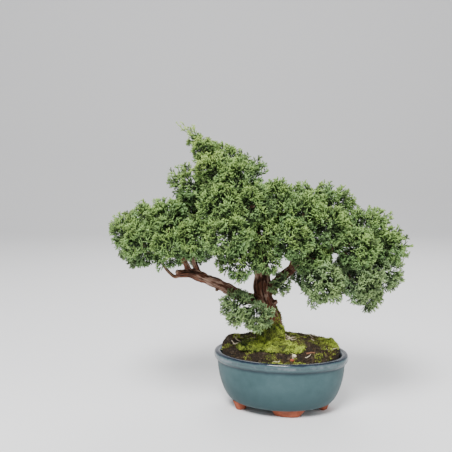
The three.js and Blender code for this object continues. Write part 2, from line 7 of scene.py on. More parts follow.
import itertools
import json
import logging
import math
from collections.abc import Sequence
from dataclasses import dataclass, field
from enum import Enum

import bpy
import numpy as np
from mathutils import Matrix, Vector


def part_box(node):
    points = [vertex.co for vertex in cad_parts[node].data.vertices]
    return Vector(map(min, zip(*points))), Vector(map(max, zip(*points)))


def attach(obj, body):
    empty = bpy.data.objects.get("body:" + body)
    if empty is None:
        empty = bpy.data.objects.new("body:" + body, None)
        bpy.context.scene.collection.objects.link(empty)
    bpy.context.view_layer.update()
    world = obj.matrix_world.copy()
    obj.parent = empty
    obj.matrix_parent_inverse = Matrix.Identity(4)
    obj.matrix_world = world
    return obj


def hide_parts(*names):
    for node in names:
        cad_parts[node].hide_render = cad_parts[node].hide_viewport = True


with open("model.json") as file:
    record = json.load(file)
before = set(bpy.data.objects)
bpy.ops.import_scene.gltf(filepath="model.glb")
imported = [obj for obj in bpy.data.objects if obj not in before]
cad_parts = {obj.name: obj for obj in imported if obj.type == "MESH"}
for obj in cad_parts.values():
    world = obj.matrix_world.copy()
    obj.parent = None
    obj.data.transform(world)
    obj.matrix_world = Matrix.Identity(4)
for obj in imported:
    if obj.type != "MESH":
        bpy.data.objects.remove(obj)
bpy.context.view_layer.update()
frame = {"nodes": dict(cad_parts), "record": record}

log = logging.getLogger("bonsai")
logging.basicConfig(level=logging.INFO, format="%(name)s: %(message)s")

MM = 0.001
UP = np.array([0.0, 0.0, 1.0])
Array = np.ndarray
Colour = tuple[float, float, float]
Rows = tuple[tuple[float, ...], ...]
Route = list[list[float]]
Random = np.random.Generator
Amount = Array | float
Piece = bpy.types.Object
Socket = bpy.types.NodeSocket
# Vertices and triangles.
Surface = tuple[Array, Array]
# Where the points of a shoot lie along it: its foot, the three of its widest ring, and its tip.
WIDEST = 0.55
SHOOT_STEPS = np.array([0.0, WIDEST, WIDEST, WIDEST, 1.0])

# The tree's own tables.
POT_CENTRE = np.array([23.0, 0.0, 0.0])
POT_TURN = math.radians(-13.5)
POT_OVAL = 0.75
SHIFT = np.array(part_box("pot")).mean(axis=0) / MM * [1, 1, 0] - POT_CENTRE

# Each row is x, y, z and radius.
LIMBS: dict[str, Route] = {
    "trunk": [
        [16, 2, 44, 9], [16, 2, 64, 13], [15, 2, 78, 12], [13.5, 2, 90, 10.6], [11, 1, 104, 9.6],
        [7, 0, 114, 9.2], [3.8, 0, 126, 8.6], [3, 0, 144, 8.2], [1, 1, 165, 7], [-4, 3, 190, 6],
        [-9, 4, 210, 5.2], [-20, 6, 228, 4.5], [-36, 5, 248, 3.6], [-50, 3, 262, 2.6], [-63, 2, 276, 1.7]],
    "left_branch": [
        [6, -1, 119, 6], [-9, -4, 118, 5.8], [-23, -7, 123, 5.7], [-36, -10, 131, 5.6],
        [-50, -13, 138, 5.4], [-63, -15, 144, 5.2], [-75, -17, 148, 4.8], [-84, -18, 147.5, 4]],
    "left_riser": [
        [-63, -15, 144, 3.2], [-69, -12, 158, 3], [-72, -6, 172, 2.7], [-84, 0, 183, 2.4],
        [-104, 4, 188, 1.9]],
    "left_front": [
        [-74, -17, 148, 3.1], [-78, -18, 158, 2.9], [-88, -20, 167, 2.6], [-105, -18, 172, 2.2],
        [-124, -16, 178, 1.7]],
    "left_twig": [
        [-81, -18, 148, 2.6], [-89, -17, 144, 2.2], [-96, -12, 148, 2], [-104, -3, 156, 1.8],
        [-116, 10, 161, 1.5]],
    "front_limb": [[2, 0, 160, 4], [-6, -14, 166, 3.4], [-12, -28, 176, 2.9], [-18, -38, 193, 2.2]],
    "back_limb": [
        [0, 1, 168, 4], [-4, 16, 178, 3.4], [-18, 22, 192, 2.9], [-42, 24, 200, 2.4], [-58, 26, 198, 1.9]],
    "apex_side": [[-24, 6, 233, 3], [-36, 2, 236, 2.6], [-50, 2, 240, 2]],
    "right_branch": [
        [5, 0, 123, 6], [13, -1, 128.5, 5.6], [20, -2, 137, 5.2], [27, -4, 144, 4.6], [38, -7, 153.5, 4.2],
        [56, -9, 164, 3.6], [76, -10, 174, 3.1], [96, -8, 178, 2.6], [110, -2, 178, 2.1]],
    "right_low": [
        [56, -9, 164, 3.2], [66, -16, 158, 2.9], [78, -18, 150, 2.6], [94, -16, 143, 2.2],
        [106, -15, 138, 1.8]],
    "right_crown": [
        [1, 1, 172, 4.6], [14, 4, 184, 4], [30, 2, 194, 3.5], [48, -5, 199, 3], [62, -8, 203, 2.2]],
    "right_back": [
        [34, -6, 152, 3.4], [44, 8, 158, 3], [58, 24, 164, 2.7], [78, 26, 166, 2.3], [100, 22, 160, 1.9]],
}
ROOTS: list[Route] = [
    [[14, 0, 62, 6], [-2, -9, 50, 4], [-14, -14, 36, 2]],
    [[18, 0, 62, 6], [36, -5, 50, 4], [50, -8, 36, 2]],
    [[16, 4, 62, 6], [20, 16, 48, 4], [22, 24, 34, 2]],
]
STUBS: list[Route] = [
    [[10, 0, 110, 4], [19.5, -2, 115, 2.6]],
    [[-50, -13, 138, 3], [-52, -16, 145, 1.7]],
    [[-24, -7, 123, 3], [-22, -10, 130.5, 1.6]],
    [[-44, -12, 135, 3], [-46, -12, 127.5, 1.4]],
    [[-84, -18, 147.5, 3.2], [-88, -20, 150.5, 2.4]],
]
# The limb that carries each group of bunches, the rise of its shoots, and x, y, z, radius of each bunch.
GROUPS: dict[str, tuple[str, float, Route]] = {
    "apex": ("trunk", 1.2, [
        [-68, 1, 287, 8.5], [-59, -11, 276, 14], [-53, 15, 273, 16], [-38, 24, 263, 22],
        [-47, -22, 253, 23]]),
    "apex_left": ("apex_side", 1.2, [[-71, -4, 234, 23.5]]),
    "crown": ("trunk", 1.2, [
        [-24, -34, 244, 26], [-17, 30, 247, 24], [-49, 34, 226, 26], [-10, -50, 219, 26]]),
    "left_pad": ("left_riser", 1.2, [
        [-126, 8, 197, 22], [-95, -28, 203, 25], [-106, 36, 190, 26], [-73, 14, 205, 25]]),
    "left_front": ("left_front", 1.2, [
        [-138, -18, 190, 20], [-119, -36, 180, 25], [-92, -46, 177, 23], [-66, -42, 186, 25]]),
    "left_under": ("left_twig", 0.0, [[-133, 26, 169, 23]]),
    "left_back": ("back_limb", 1.2, [[-69, 28, 169, 24], [-22, 44, 196, 28]]),
    "centre": ("front_limb", 1.2, [
        [-34, -64, 191, 27], [-22, -54, 166, 23], [0, -46, 193, 25], [-40, -46, 219, 27], [3, -46, 170, 22]]),
    "right_crown": ("right_crown", 1.2, [
        [16, -30, 220, 27], [18, 36, 216, 27], [41, -40, 211, 27], [53, 22, 215, 26], [78, -6, 217, 22],
        [65, -46, 199, 25], [111, -14, 194, 24]]),
    "right_pad": ("right_branch", 1.2, [
        [28, -54, 188, 24], [94, -48, 177, 25], [127, -20, 175, 25], [50, -38, 168, 24]]),
    "right_back": ("right_back", 1.2, [
        [37, 46, 180, 27], [87, 38, 188, 27], [125, 34, 166, 26], [103, 24, 137, 25], [57, 16, 142, 24]]),
    "right_low": ("right_low", -0.3, [
        [128, -22, 152, 22], [99, -44, 146, 24], [61, -46, 144, 25], [113, -14, 123, 16]]),
    "fork_tuft": ("right_branch", -1.0, [[21, -20, 138, 13]]),
    "low_bunch": ("left_branch", -0.6, [[-22, -27, 114, 21], [-4, -30, 106, 17.5]]),
}


# Numpy geometry.
def unit(v: Array) -> Array:
    """Each row of v divided by its length."""
    return v / np.maximum(np.linalg.norm(v, axis=-1, keepdims=True), 1e-9)


def value_noise(points: Array, seed: int) -> Array:
    """Smooth noise: a random value at each whole-number corner, blended between eight corners by 3t^2 - 2t^3.

    Args:
        points: Places, one row each.
        seed: Which run of random values.
    Returns:
        A number from -1 to 1 for each place.
    """
    cell = np.floor(points).astype(np.int64)
    part = points - cell
    part = part * part * (3 - 2 * part)
    total = np.zeros(len(points))
    for corner in itertools.product((0, 1), repeat=3):
        mixed = (cell + np.array(corner)) @ np.array([374761393, 668265263, 1440662683]) + seed * 974634777
        mixed = ((mixed ^ (mixed >> 13)) * 1274126177) & 0x7FFFFFFF
        value = ((mixed ^ (mixed >> 16)) & 0xFFFF) / 32767.5 - 1
        total += value * np.prod(np.where(np.array(corner) == 1, part, 1 - part), axis=1)
    return total


def layered(points: Array, *layers: tuple[float, object, int]) -> Array:
    """Noise in layers: for each, its strength x the noise of points x its fineness, all added up."""
    return sum(strength * value_noise(points * fineness, seed) for strength, fineness, seed in layers)


def perpendicular(way: Array) -> tuple[Array, Array]:
    """Two directions square to way: its cross product with +Z, or +X where it is near +Z, and a third."""
    first = unit(np.cross(np.where(np.abs(way[..., 2:3]) < 0.8, UP, np.array([1.0, 0.0, 0.0])), way))
    return first, np.cross(way, first)


def strayed(random: Random, way: Array, amount: float) -> Array:
    """Directions that stray from way: unit length of way + amount x normally spread numbers."""
    return unit(way + amount * random.normal(size=way.shape))


def ways_at(height: Array, turn: Array) -> Array:
    """Directions of a given height z and turn t: (sqrt(1 - z^2) cos t, sqrt(1 - z^2) sin t, z)."""
    flat = np.sqrt(1 - height * height)
    return np.stack([flat * np.cos(turn), flat * np.sin(turn), height], axis=-1)


def circle(count: int) -> tuple[Array, Array]:
    """Cosines and sines of angles evenly round a circle."""
    angle = np.linspace(0, 2 * math.pi, count, endpoint=False)
    return np.cos(angle), np.sin(angle)


def hoops(first: Array, second: Array, sides: int) -> Array:
    """A ring about each row: first cos a + second sin a."""
    cosine, sine = circle(sides)
    return first[:, None] * cosine[:, None] + second[:, None] * sine[:, None]


def ovals(long: Array, wide: Array, height: Array, sides: int) -> Array:
    """Level ovals one above the other: (long cos a, wide sin a, height)."""
    sizes = np.stack([long, wide, height], axis=-1)[:, None]
    return sizes * np.stack([*circle(sides), np.ones(sides)], axis=-1)


def closed(rings: Array, low: Array, high: Array) -> Surface:
    """Rings of points joined to their neighbours and closed by a point at each end.

    Args:
        rings: Points by ring and by place in the ring, each ring turning from +X to +Y.
        low: The closing point before the first ring.
        high: The closing point after the last ring.
    Returns:
        A surface that faces outwards.
    """
    here = np.arange(rings.shape[0] * rings.shape[1]).reshape(rings.shape[:2])
    beside = np.roll(here, -1, axis=1)
    end = np.full(rings.shape[1], here.size)
    corners = [
        (here[:-1], beside[:-1], beside[1:]), (here[:-1], beside[1:], here[1:]),
        (beside[0], here[0], end), (here[-1], beside[-1], end + 1)]
    faces = np.vstack([np.stack(three, -1).reshape(-1, 3) for three in corners])
    return np.vstack([rings.reshape(-1, 3), low, high]), faces


def ball(rings: int, sides: int) -> Surface:
    """A unit ball: rings at latitude a, (cos a cos b, cos a sin b, sin a), closed at both poles."""
    lat = np.linspace(-math.pi / 2, math.pi / 2, rings + 2)[1:-1]
    return closed(ovals(np.cos(lat), np.cos(lat), np.sin(lat), sides), -UP, UP)


def smooth_route(rows: Route, count: int) -> tuple[Array, Array]:
    """A curve through points: centripetal Catmull-Rom, each span a cubic from its ends and their slopes.

    Args:
        rows: x, y, z and radius of each point.
        count: How many samples.
    Returns:
        Samples of the centre line, and the radius at each, straight between the points.
    """
    table = np.array(rows, float)
    ends = np.vstack([2 * table[0, :3] - table[1, :3], table[:, :3], 2 * table[-1, :3] - table[-2, :3]])
    t = np.linspace(0, len(table) - 1, count)
    span = np.minimum(t.astype(int), len(table) - 2)
    part = (t - span)[:, None]
    p = [ends[span + k] for k in range(4)]
    gap = [np.sqrt(np.linalg.norm(b - a, axis=1, keepdims=True)) for a, b in zip(p, p[1:])]
    slope, last = (
        ((p[k + 1] - p[k]) / gap[k] - (p[k + 2] - p[k]) / (gap[k] + gap[k + 1])
         + (p[k + 2] - p[k + 1]) / gap[k + 1]) * gap[1] for k in (0, 1))
    cube = 2 * p[1] - 2 * p[2] + slope + last
    square = -3 * p[1] + 3 * p[2] - 2 * slope - last
    radius = np.interp(t, np.arange(len(table)), table[:, 3])
    return ((cube * part + square) * part + slope) * part + p[1], radius


def even_route(rows: Route, step: float) -> tuple[Array, Array, Array]:
    """The same curve with samples a fixed length apart.

    Args:
        rows: x, y, z and radius of each point.
        step: Length between samples.
    Returns:
        Centre line, radius, and length along the limb at each sample.
    """
    line, radius = smooth_route(rows, 400)
    along = np.concatenate([[0], np.cumsum(np.linalg.norm(np.diff(line, axis=0), axis=1))])
    at = np.linspace(0, along[-1], max(3, int(round(along[-1] / step)) + 1))
    line = np.stack([np.interp(at, along, line[:, k]) for k in range(3)], axis=1)
    return line, np.interp(at, along, radius), at


def carried_sides(line: Array) -> tuple[Array, Array]:
    """Two directions square to a centre line, carried along it without twist.

    Args:
        line: Samples of the centre line.
    Returns:
        Normals and binormals.
    """
    tangent = unit(np.gradient(line, axis=0))
    normal = np.zeros_like(tangent)
    normal[0] = perpendicular(tangent[:1])[0][0]
    for i in range(1, len(line)):
        rest = normal[i - 1] - tangent[i] * normal[i - 1].dot(tangent[i])
        normal[i] = rest / np.linalg.norm(rest)
    return normal, np.cross(tangent, normal)


def tube(line: Array, radius: Array, sides: int) -> Surface:
    """A closed tube: rings at centre + radius x (normal cos a + binormal sin a), with a point at each end."""
    normal, binormal = carried_sides(line)
    return closed(line[:, None] + radius[:, None, None] * hoops(normal, binormal, sides), line[0], line[-1])


def spindles(base: Array, way: Array, length: Array, radius: Amount) -> Surface:
    """Slim closed shoots: a point at the base, a ring of three at WIDEST of the length, a point at the tip.

    Args:
        base: Foot of each shoot.
        way: Its direction.
        length: Its length.
        radius: Radius of its ring.
    Returns:
        A surface with five points and six triangles a shoot.
    """
    middle = (base + way * (WIDEST * length)[:, None])[:, None]
    middle = middle + hoops(*perpendicular(way), 3) * np.reshape(radius, (-1, 1, 1))
    tip = base + way * length[:, None]
    points = np.concatenate([base[:, None], middle, tip[:, None]], axis=1).reshape(-1, 3)
    pattern = np.array([[0, 2, 1], [0, 3, 2], [0, 1, 3], [4, 1, 2], [4, 2, 3], [4, 3, 1]])
    return points, (np.arange(len(base))[:, None, None] * len(SHOOT_STEPS) + pattern).reshape(-1, 3)


def merged(parts: Sequence[Surface]) -> Surface:
    """Several surfaces as one, the triangles of each counted on from the points before it.

    Args:
        parts: The surfaces.
    Returns:
        One surface.
    """
    points, faces = zip(*parts)
    starts = np.cumsum([0, *map(len, points[:-1])])
    return np.vstack(points), np.vstack([three + start for three, start in zip(faces, starts)])


def turned(points: Array, turn: Amount) -> Array:
    """Points turned about +Z by t: (x cos t - y sin t, x sin t + y cos t, z)."""
    x, y, z = np.moveaxis(points, -1, 0)
    return np.stack([x * np.cos(turn) - y * np.sin(turn), x * np.sin(turn) + y * np.cos(turn), z], axis=-1)


def on_pot(plan: Array) -> Array:
    """Points of the pot's own plan, turned and moved with the pot."""
    return turned(plan, POT_TURN) + POT_CENTRE


def off_pot(points: Array) -> Array:
    """How far points lie along the pot from its middle, across it and above the ground."""
    return turned(points - POT_CENTRE, -POT_TURN).T


# Meshes.
def add_object(name: str, data: bpy.types.ID | None) -> Piece:
    """Puts an object into the scene.

    Args:
        name: Its name.
        data: Its mesh, light or camera.
    Returns:
        The object.
    """
    made = bpy.data.objects.new(name, data)
    bpy.context.scene.collection.objects.link(made)
    return made


def add_mesh(name: str, surface: Surface, smooth: bool = True, **numbers: Array) -> Piece:
    """Puts a surface into the scene, from millimetres in the tree's plan to metres in the frame.

    Args:
        name: Name of the piece.
        surface: Its vertices and triangles.
        smooth: Whether its faces are shaded as one curved surface.
        numbers: For its material, a number or a vector on each vertex, by name.
    Returns:
        The new object.
    """
    points, faces = surface
    mesh = bpy.data.meshes.new(name)
    mesh.vertices.add(len(points))
    mesh.vertices.foreach_set("co", ((points + SHIFT) * MM).astype(np.float32).ravel())
    mesh.loops.add(faces.size)
    mesh.loops.foreach_set("vertex_index", faces.astype(np.int32).ravel())
    mesh.polygons.add(len(faces))
    mesh.polygons.foreach_set("loop_start", np.arange(0, faces.size, 3, dtype=np.int32))
    mesh.update(calc_edges=True)
    mesh.polygons.foreach_set("use_smooth", np.full(len(faces), smooth))
    for key, values in numbers.items():
        kind, part = ("FLOAT", "value") if values.ndim == 1 else ("FLOAT_VECTOR", "vector")
        mesh.attributes.new(key, kind, "POINT").data.foreach_set(part, values.astype(np.float32).ravel())
    return add_object(name, mesh)


def read_mesh(mesh: bpy.types.Mesh) -> Surface:
    """A mesh's points, in millimetres in the tree's plan, and its triangles.

    Args:
        mesh: The mesh, in metres in the frame.
    Returns:
        Its surface.
    """
    mesh.calc_loop_triangles()
    points = np.empty(len(mesh.vertices) * 3, np.float32)
    mesh.vertices.foreach_get("co", points)
    faces = np.empty(len(mesh.loop_triangles) * 3, np.int32)
    mesh.loop_triangles.foreach_get("vertices", faces)
    return points.reshape(-1, 3).astype(float) / MM - SHIFT, faces.reshape(-1, 3)


def finished(made: Piece) -> Surface:
    """A piece's surface after its modifiers, taken before the piece itself is removed.

    Args:
        made: The piece with live modifiers.
    Returns:
        The surface.
    """
    shown = made.evaluated_get(bpy.context.evaluated_depsgraph_get())
    surface = read_mesh(shown.to_mesh())
    shown.to_mesh_clear()
    bpy.data.meshes.remove(made.data)
    return surface


def node_box(node: str) -> tuple[Array, Array]:
    """A solid's middle and half sizes, in the tree's plan."""
    low, high = np.array(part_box(node)) / MM - SHIFT
    return (low + high) / 2, (high - low) / 2


# Finishes.
class Nodes:
    """A short way to add and join the nodes of one material or group."""

    def __init__(self, tree: bpy.types.NodeTree) -> None:
        """Keeps the tree that the nodes go into."""
        self.tree = tree

    def feed(self, socket: Socket, value: object) -> None:
        """Joins another socket to an input, or sets the input's own value, or leaves it.

        Args:
            socket: The input.
            value: The other socket, the value, or None to leave it.
        """
        if isinstance(value, Socket):
            self.tree.links.new(value, socket)
        elif value is not None:
            socket.default_value = value

    def add(self, kind: str, *inputs: object, **settings: object) -> bpy.types.Node:
        """Adds a node, sets it and feeds it.

        Args:
            kind: Blender's name of the node.
            inputs: What goes into its inputs, in their order.
            settings: Its properties by name.
        Returns:
            The node.
        """
        node = self.tree.nodes.new(kind)
        for key, value in settings.items():
            setattr(node, key, value)
        for socket, value in zip(node.inputs, inputs):
            self.feed(socket, value)
        return node

    def maths(self, operation: str, first: object, second: object) -> Socket:
        """Two values put together by one of Blender's sums."""
        return self.add("ShaderNodeMath", first, second, operation=operation).outputs[0]

    def times(self, first: object, second: object) -> Socket:
        """The product of two values."""
        return self.maths("MULTIPLY", first, second)

    def mixed(self, first: object, second: object, share: float) -> Socket:
        """Two values added: the share of the first, and the rest of the second."""
        return self.maths("ADD", self.times(first, share), self.times(second, round(1 - share, 3)))

    def spread(self, value: object, *ends: object) -> Socket:
        """A value stretched from one range to another, or to 0 to 1, and held inside it."""
        return self.add("ShaderNodeMapRange", value, *ends).outputs[0]

    def blend(self, share: object, low: object, high: object) -> Socket:
        """A colour between two: low where the share is 0, high where it is 1."""
        colours = (colour if isinstance(colour, Socket) else (*colour, 1.0) for colour in (low, high))
        return self.add("ShaderNodeMix", share, *[None] * 5, *colours, data_type="RGBA").outputs[2]

    def kept(self, name: str, output: str = "Fac") -> Socket:
        """What a piece keeps on its vertices under a name."""
        return self.add("ShaderNodeAttribute", attribute_name=name).outputs[output]

    def place(self) -> Socket:
        """The object's own coordinates."""
        return self.add("ShaderNodeTexCoord").outputs["Object"]

    def mottle(self, at: Socket, scale: float, low: float = 0.36, high: float = 0.64) -> Socket:
        """The shared uneven tone at one scale per metre, with the noise values that become 0 and 1."""
        return self.add("ShaderNodeGroup", at, scale, low, high, node_tree=mottle_group()).outputs[0]


def mottle_group() -> bpy.types.NodeTree:
    """The shared uneven tone: two sizes of noise put together and cut to a mask from 0 to 1.

    Returns:
        The node group, with Vector, Scale, Low and High in, and Mask out.
    """
    if "mottle" in bpy.data.node_groups:
        return bpy.data.node_groups["mottle"]
    group = bpy.data.node_groups.new("mottle", "ShaderNodeTree")
    group.interface.new_socket("Vector", in_out="INPUT", socket_type="NodeSocketVector")
    for name in ("Scale", "Low", "High"):
        group.interface.new_socket(name, in_out="INPUT", socket_type="NodeSocketFloat")
    group.interface.new_socket("Mask", in_out="OUTPUT", socket_type="NodeSocketFloat")
    put = Nodes(group)
    at, scale, low, high = put.add("NodeGroupInput").outputs[:4]
    coarse = put.add("ShaderNodeTexNoise", at, None, scale, 5.0, 0.6)
    fine = put.add("ShaderNodeTexNoise", at, None, put.times(scale, 4.3), 3.0)
    both = put.mixed(coarse.outputs[0], fine.outputs[0], 0.7)
    put.add("NodeGroupOutput", put.spread(both, low, high))
    return group


# Each material that is made, by the name of its finish.
MADE: dict[str, bpy.types.Material] = {}


@dataclass(frozen=True)
class Finish:
    """What the finishes share: a name, and a material made when it is first asked for."""

    name: str

    def material(self) -> bpy.types.Material:
        """The finish's material, made once.

        Returns:
            The material.
        """
        if self.name not in MADE:
            MADE[self.name] = bpy.data.materials.new(self.name)
            MADE[self.name].use_nodes = True
            self.paint(Nodes(MADE[self.name].node_tree))
        return MADE[self.name]

    def paint(self, put: Nodes) -> None:
        """Each finish makes its own colour, roughness and relief here."""

    def dress(self, put: Nodes, height: object, depth: float, **inputs: object) -> None:
        """Raises the surface by a height of a depth in metres, and feeds the shader's inputs.

        Args:
            put: The material's nodes.
            height: The relief, from 0 to 1.
            depth: How deep it is.
            inputs: What goes into the Principled shader, with _ for a space.
        """
        bump = put.add("ShaderNodeBump", 1.0, depth)
        put.feed(bump.inputs["Height"], height)
        for name, value in {**inputs, "Normal": bump.outputs[0]}.items():
            put.feed(put.tree.nodes["Principled BSDF"].inputs[name.replace("_", " ")], value)


@dataclass(frozen=True)
class Glaze(Finish):
    """Blue-grey glaze: cloudy on the wall, darker towards the foot as painted shade, dark where it pools on
    the lip's top and darker in the groove below, with painted shade and painted highlight streaks on the
    lip's bulge, and pale at the lip's inner edge, where the glaze is thinner and a highlight is painted.
    """

    # Dark of pooled glaze, also laid over the lip's bulge as painted shade.
    pool_and_shade: Colour = (0.010, 0.017, 0.030)
    body: Colour = (0.038, 0.074, 0.080)
    cloud: Colour = (0.063, 0.109, 0.118)
    # Painted shade: the glaze is darkened towards the foot.
    foot: Colour = (0.032, 0.062, 0.068)
    # Pale of thinner glaze at the lip's inner edge, there partly a painted highlight, and of the painted
    # highlight streaks on the lip's bulge.
    thin: Colour = (0.230, 0.250, 0.280)
    # Heights where a band starts, is full, starts to fade and ends.
    groove_band: tuple[float, ...] = (0.0485, 0.0515, 0.0522, 0.0545)
    bulge_band: tuple[float, ...] = (0.0545, 0.0562, 0.0572, 0.0588)

    def paint(self, put: Nodes) -> None:
        """The glaze by height and by distance from the pot's axis, which is in millimetres.

        Args:
            put: The material's nodes.
        """
        at = put.place()
        height = put.add("ShaderNodeSeparateXYZ", at).outputs[2]
        wide = put.kept("wide")
        cloud = put.mottle(at, 26.0, 0.34, 0.70)
        ragged = put.times(put.maths("SUBTRACT", put.mottle(at, 120.0, 0.3, 0.7), 0.5), 0.0016)
        level = put.maths("ADD", height, ragged)
        groove, bulge = (
            put.times(put.spread(level, start, full), put.spread(level, end, fade))
            for start, full, fade, end in (self.groove_band, self.bulge_band))
        speck = put.mottle(at, 700.0, 0.62, 0.74)
        top = put.times(put.spread(level, 0.0588, 0.0598), put.spread(wide, 66.6, 67.6))
        # Pale at the lip's inner edge: thinner glaze, with a painted highlight there.
        inner = put.times(put.spread(height, 0.0560, 0.0590), put.spread(wide, 67.4, 66.4))
        # Streaks of painted highlight on the lip's bulge.
        painted_highlight_streak = put.mottle(at, 45.0, 0.47, 0.60)
        colour = put.blend(cloud, self.body, self.cloud)
        # Over the cloud in turn: painted shade towards the foot, pooled specks, pooled glaze on the lip's top
        # and darker in the groove, the pale inner edge with its painted highlight, painted shade on the
        # bulge, and painted highlight streaks on it.
        for share, over in (
                (put.spread(height, 0.036, 0.008), self.foot), (put.times(speck, 0.4), self.pool_and_shade),
                (put.maths("MAXIMUM", put.times(groove, 0.65), top), self.pool_and_shade),
                (put.times(inner, 0.8), self.thin), (put.times(bulge, 0.3), self.pool_and_shade),
                (put.times(put.times(bulge, painted_highlight_streak), 0.4), self.thin)):
            colour = put.blend(share, colour, over)
        self.dress(
            put, put.maths("ADD", cloud, put.times(speck, -0.4)), 0.00018, Base_Color=colour,
            Roughness=put.spread(height, 0.050, 0.055, 0.42, 0.2), Specular_IOR_Level=0.1,
            Coat_Weight=put.spread(height, 0.050, 0.055, 0.0, 0.7), Coat_Roughness=0.12)


@dataclass(frozen=True)
class Speckled(Finish):
    """A dull two-tone surface with grain: clay, grit, soil, moss, netting or dry wood."""

    dark: Colour
    light: Colour
    scale: float
    depth: float
    roughness: float = 0.9
    by_own: bool = False
    contrast: float = 0.0
    third: Colour = (0.0, 0.0, 0.0)
    third_share: float = 0.0

    def paint(self, put: Nodes) -> None:
        """Darker in its hollows, mixed by each bit's own tone if it has one, with patches of a third colour.

        Args:
            put: The material's nodes.
        """
        at = put.place()
        grain = put.mottle(at, self.scale)
        share = put.mixed(grain, put.kept("own"), 0.45) if self.by_own else grain
        colour = put.blend(put.spread(share, self.contrast, 1 - self.contrast), self.dark, self.light)
        if self.third_share:
            patch = put.mottle(at, self.scale * 0.21, 0.50, 0.60)
            colour = put.blend(put.times(patch, self.third_share), colour, self.third)
        self.dress(put, grain, self.depth, Base_Color=colour, Specular_IOR_Level=0.3,
                   Roughness=put.spread(grain, 0.0, 1.0, self.roughness, self.roughness - 0.15))


@dataclass(frozen=True)
class Bark(Finish):
    """Red-brown bark in long strips, with weathered grey-pink plates, and green-brown on young twigs."""

    furrow: Colour = (0.022, 0.010, 0.006)
    strip: Colour = (0.175, 0.064, 0.035)
    plate: Colour = (0.520, 0.350, 0.265)
    young: Colour = (0.150, 0.090, 0.042)

    def paint(self, put: Nodes) -> None:
        """The bark, on the limb's own coordinates.

        Args:
            put: The material's nodes.
        """
        at = put.kept("bark_place", "Vector")
        deep = put.kept("bark_height")
        grain = put.mottle(at, 900.0)
        flake = put.times(put.mottle(at, 150.0, 0.50, 0.57), put.spread(deep, 0.25, 0.6))
        colour = put.blend(put.spread(put.mixed(grain, deep, 0.5), 0.2, 0.75), self.furrow, self.strip)
        colour = put.blend(put.times(flake, 0.65), colour, self.plate)
        colour = put.blend(put.times(put.kept("bark_young"), 0.8), colour, self.young)
        self.dress(put, grain, 0.0005, Base_Color=colour, Specular_IOR_Level=0.25,
                   Roughness=put.spread(grain, 0.0, 1.0, 0.95, 0.75))


@dataclass(frozen=True)
class Needles(Finish):
    """Scale-like foliage: dark inside the bunch as painted shade, mid green along the shoots and paler at
    their tips, yellower where shoots face up and out, as young growth and as painted light.
    """

    # Dark deep inside the bunch: painted shade.
    deep: Colour
    body: Colour
    tip: Colour
    # Tips of young shoots, which face up and out and so also carry painted light.
    fresh: Colour

    def paint(self, put: Nodes) -> None:
        """The foliage, by how far out on the shoot a point lies, with painted shade deep inside, by each
        shoot's own tint, and by how young it is, which also paints light on shoots that face up and out.

        Args:
            put: The material's nodes.
        """
        at = put.place()
        out = put.kept("outness")
        youth_and_light = put.mixed(put.kept("fresh"), put.mottle(at, 60.0, 0.40, 0.66), 0.75)
        tip = put.blend(put.spread(youth_and_light, 0.25, 0.85), self.tip, self.fresh)
        colour = put.blend(put.spread(out, 0.0, 0.42), self.deep, self.body)
        colour = put.blend(put.spread(out, 0.34, 0.80), colour, tip)
        colour = put.blend(put.spread(put.kept("tint"), 0.55, 0.0, 0.0, 0.75), colour, self.deep)
        grain = put.mottle(at, 1800.0)
        self.dress(put, grain, 0.0002, Base_Color=colour, Specular_IOR_Level=0.35,
                   Roughness=put.spread(out, 0.0, 1.0, 0.75, 0.5))


class Tone(Enum):
    """The tones of foliage, by the name of their slot in the record."""

    FRESH = "foliage_fresh"
    GREEN = "foliage_green"
    BLUE = "foliage_blue"
    OLIVE = "foliage_olive"


NEEDLE_FINISHES = {
    Tone.FRESH: Needles("needles_fresh", (0.016, 0.022, 0.006), (0.078, 0.172, 0.034),
                        (0.270, 0.450, 0.130), (0.480, 0.660, 0.150)),
    Tone.GREEN: Needles("needles_green", (0.014, 0.020, 0.006), (0.066, 0.150, 0.036),
                        (0.245, 0.420, 0.150), (0.370, 0.560, 0.130)),
    Tone.BLUE: Needles("needles_blue", (0.018, 0.026, 0.010), (0.105, 0.190, 0.072),
                       (0.350, 0.530, 0.230), (0.430, 0.610, 0.200)),
    Tone.OLIVE: Needles("needles_olive", (0.014, 0.018, 0.006), (0.066, 0.138, 0.036),
                        (0.240, 0.370, 0.170), (0.310, 0.450, 0.130)),
}
CLAY = Speckled("fired_clay", (0.20, 0.048, 0.022), (0.34, 0.092, 0.045), 260.0, 0.0002, 0.85,
                third=(0.16, 0.08, 0.06), third_share=0.35)
SOIL = Speckled("damp_soil", (0.004, 0.003, 0.002), (0.028, 0.016, 0.007), 420.0, 0.0006)
CRUMB = Speckled("soil_crumb", (0.005, 0.003, 0.002), (0.072, 0.042, 0.018), 700.0, 0.0003, by_own=True,
                 third=(0.30, 0.24, 0.17), third_share=0.25)
MOSS = Speckled("green_moss", (0.012, 0.022, 0.002), (0.500, 0.620, 0.080), 160.0, 0.0003, by_own=True,
                contrast=0.22, third=(0.080, 0.075, 0.018), third_share=0.5)
OLD_MOSS = Speckled("moss_old", (0.006, 0.006, 0.002), (0.112, 0.088, 0.022), 160.0, 0.0003, by_own=True,
                    contrast=0.15, third=(0.075, 0.042, 0.016), third_share=0.6)
STRAW = Speckled("straw", (0.36, 0.28, 0.17), (0.80, 0.72, 0.54), 500.0, 0.0002)
GRIT = Speckled("pale_grit", (0.42, 0.34, 0.21), (0.75, 0.68, 0.50), 500.0, 0.0002)
DRY_WOOD = Speckled("dry_wood", (0.10, 0.035, 0.014), (0.34, 0.16, 0.085), 600.0, 0.0003)
NETTING = Speckled("netting", (0.012, 0.013, 0.014), (0.035, 0.037, 0.040), 900.0, 0.0001, 0.7)


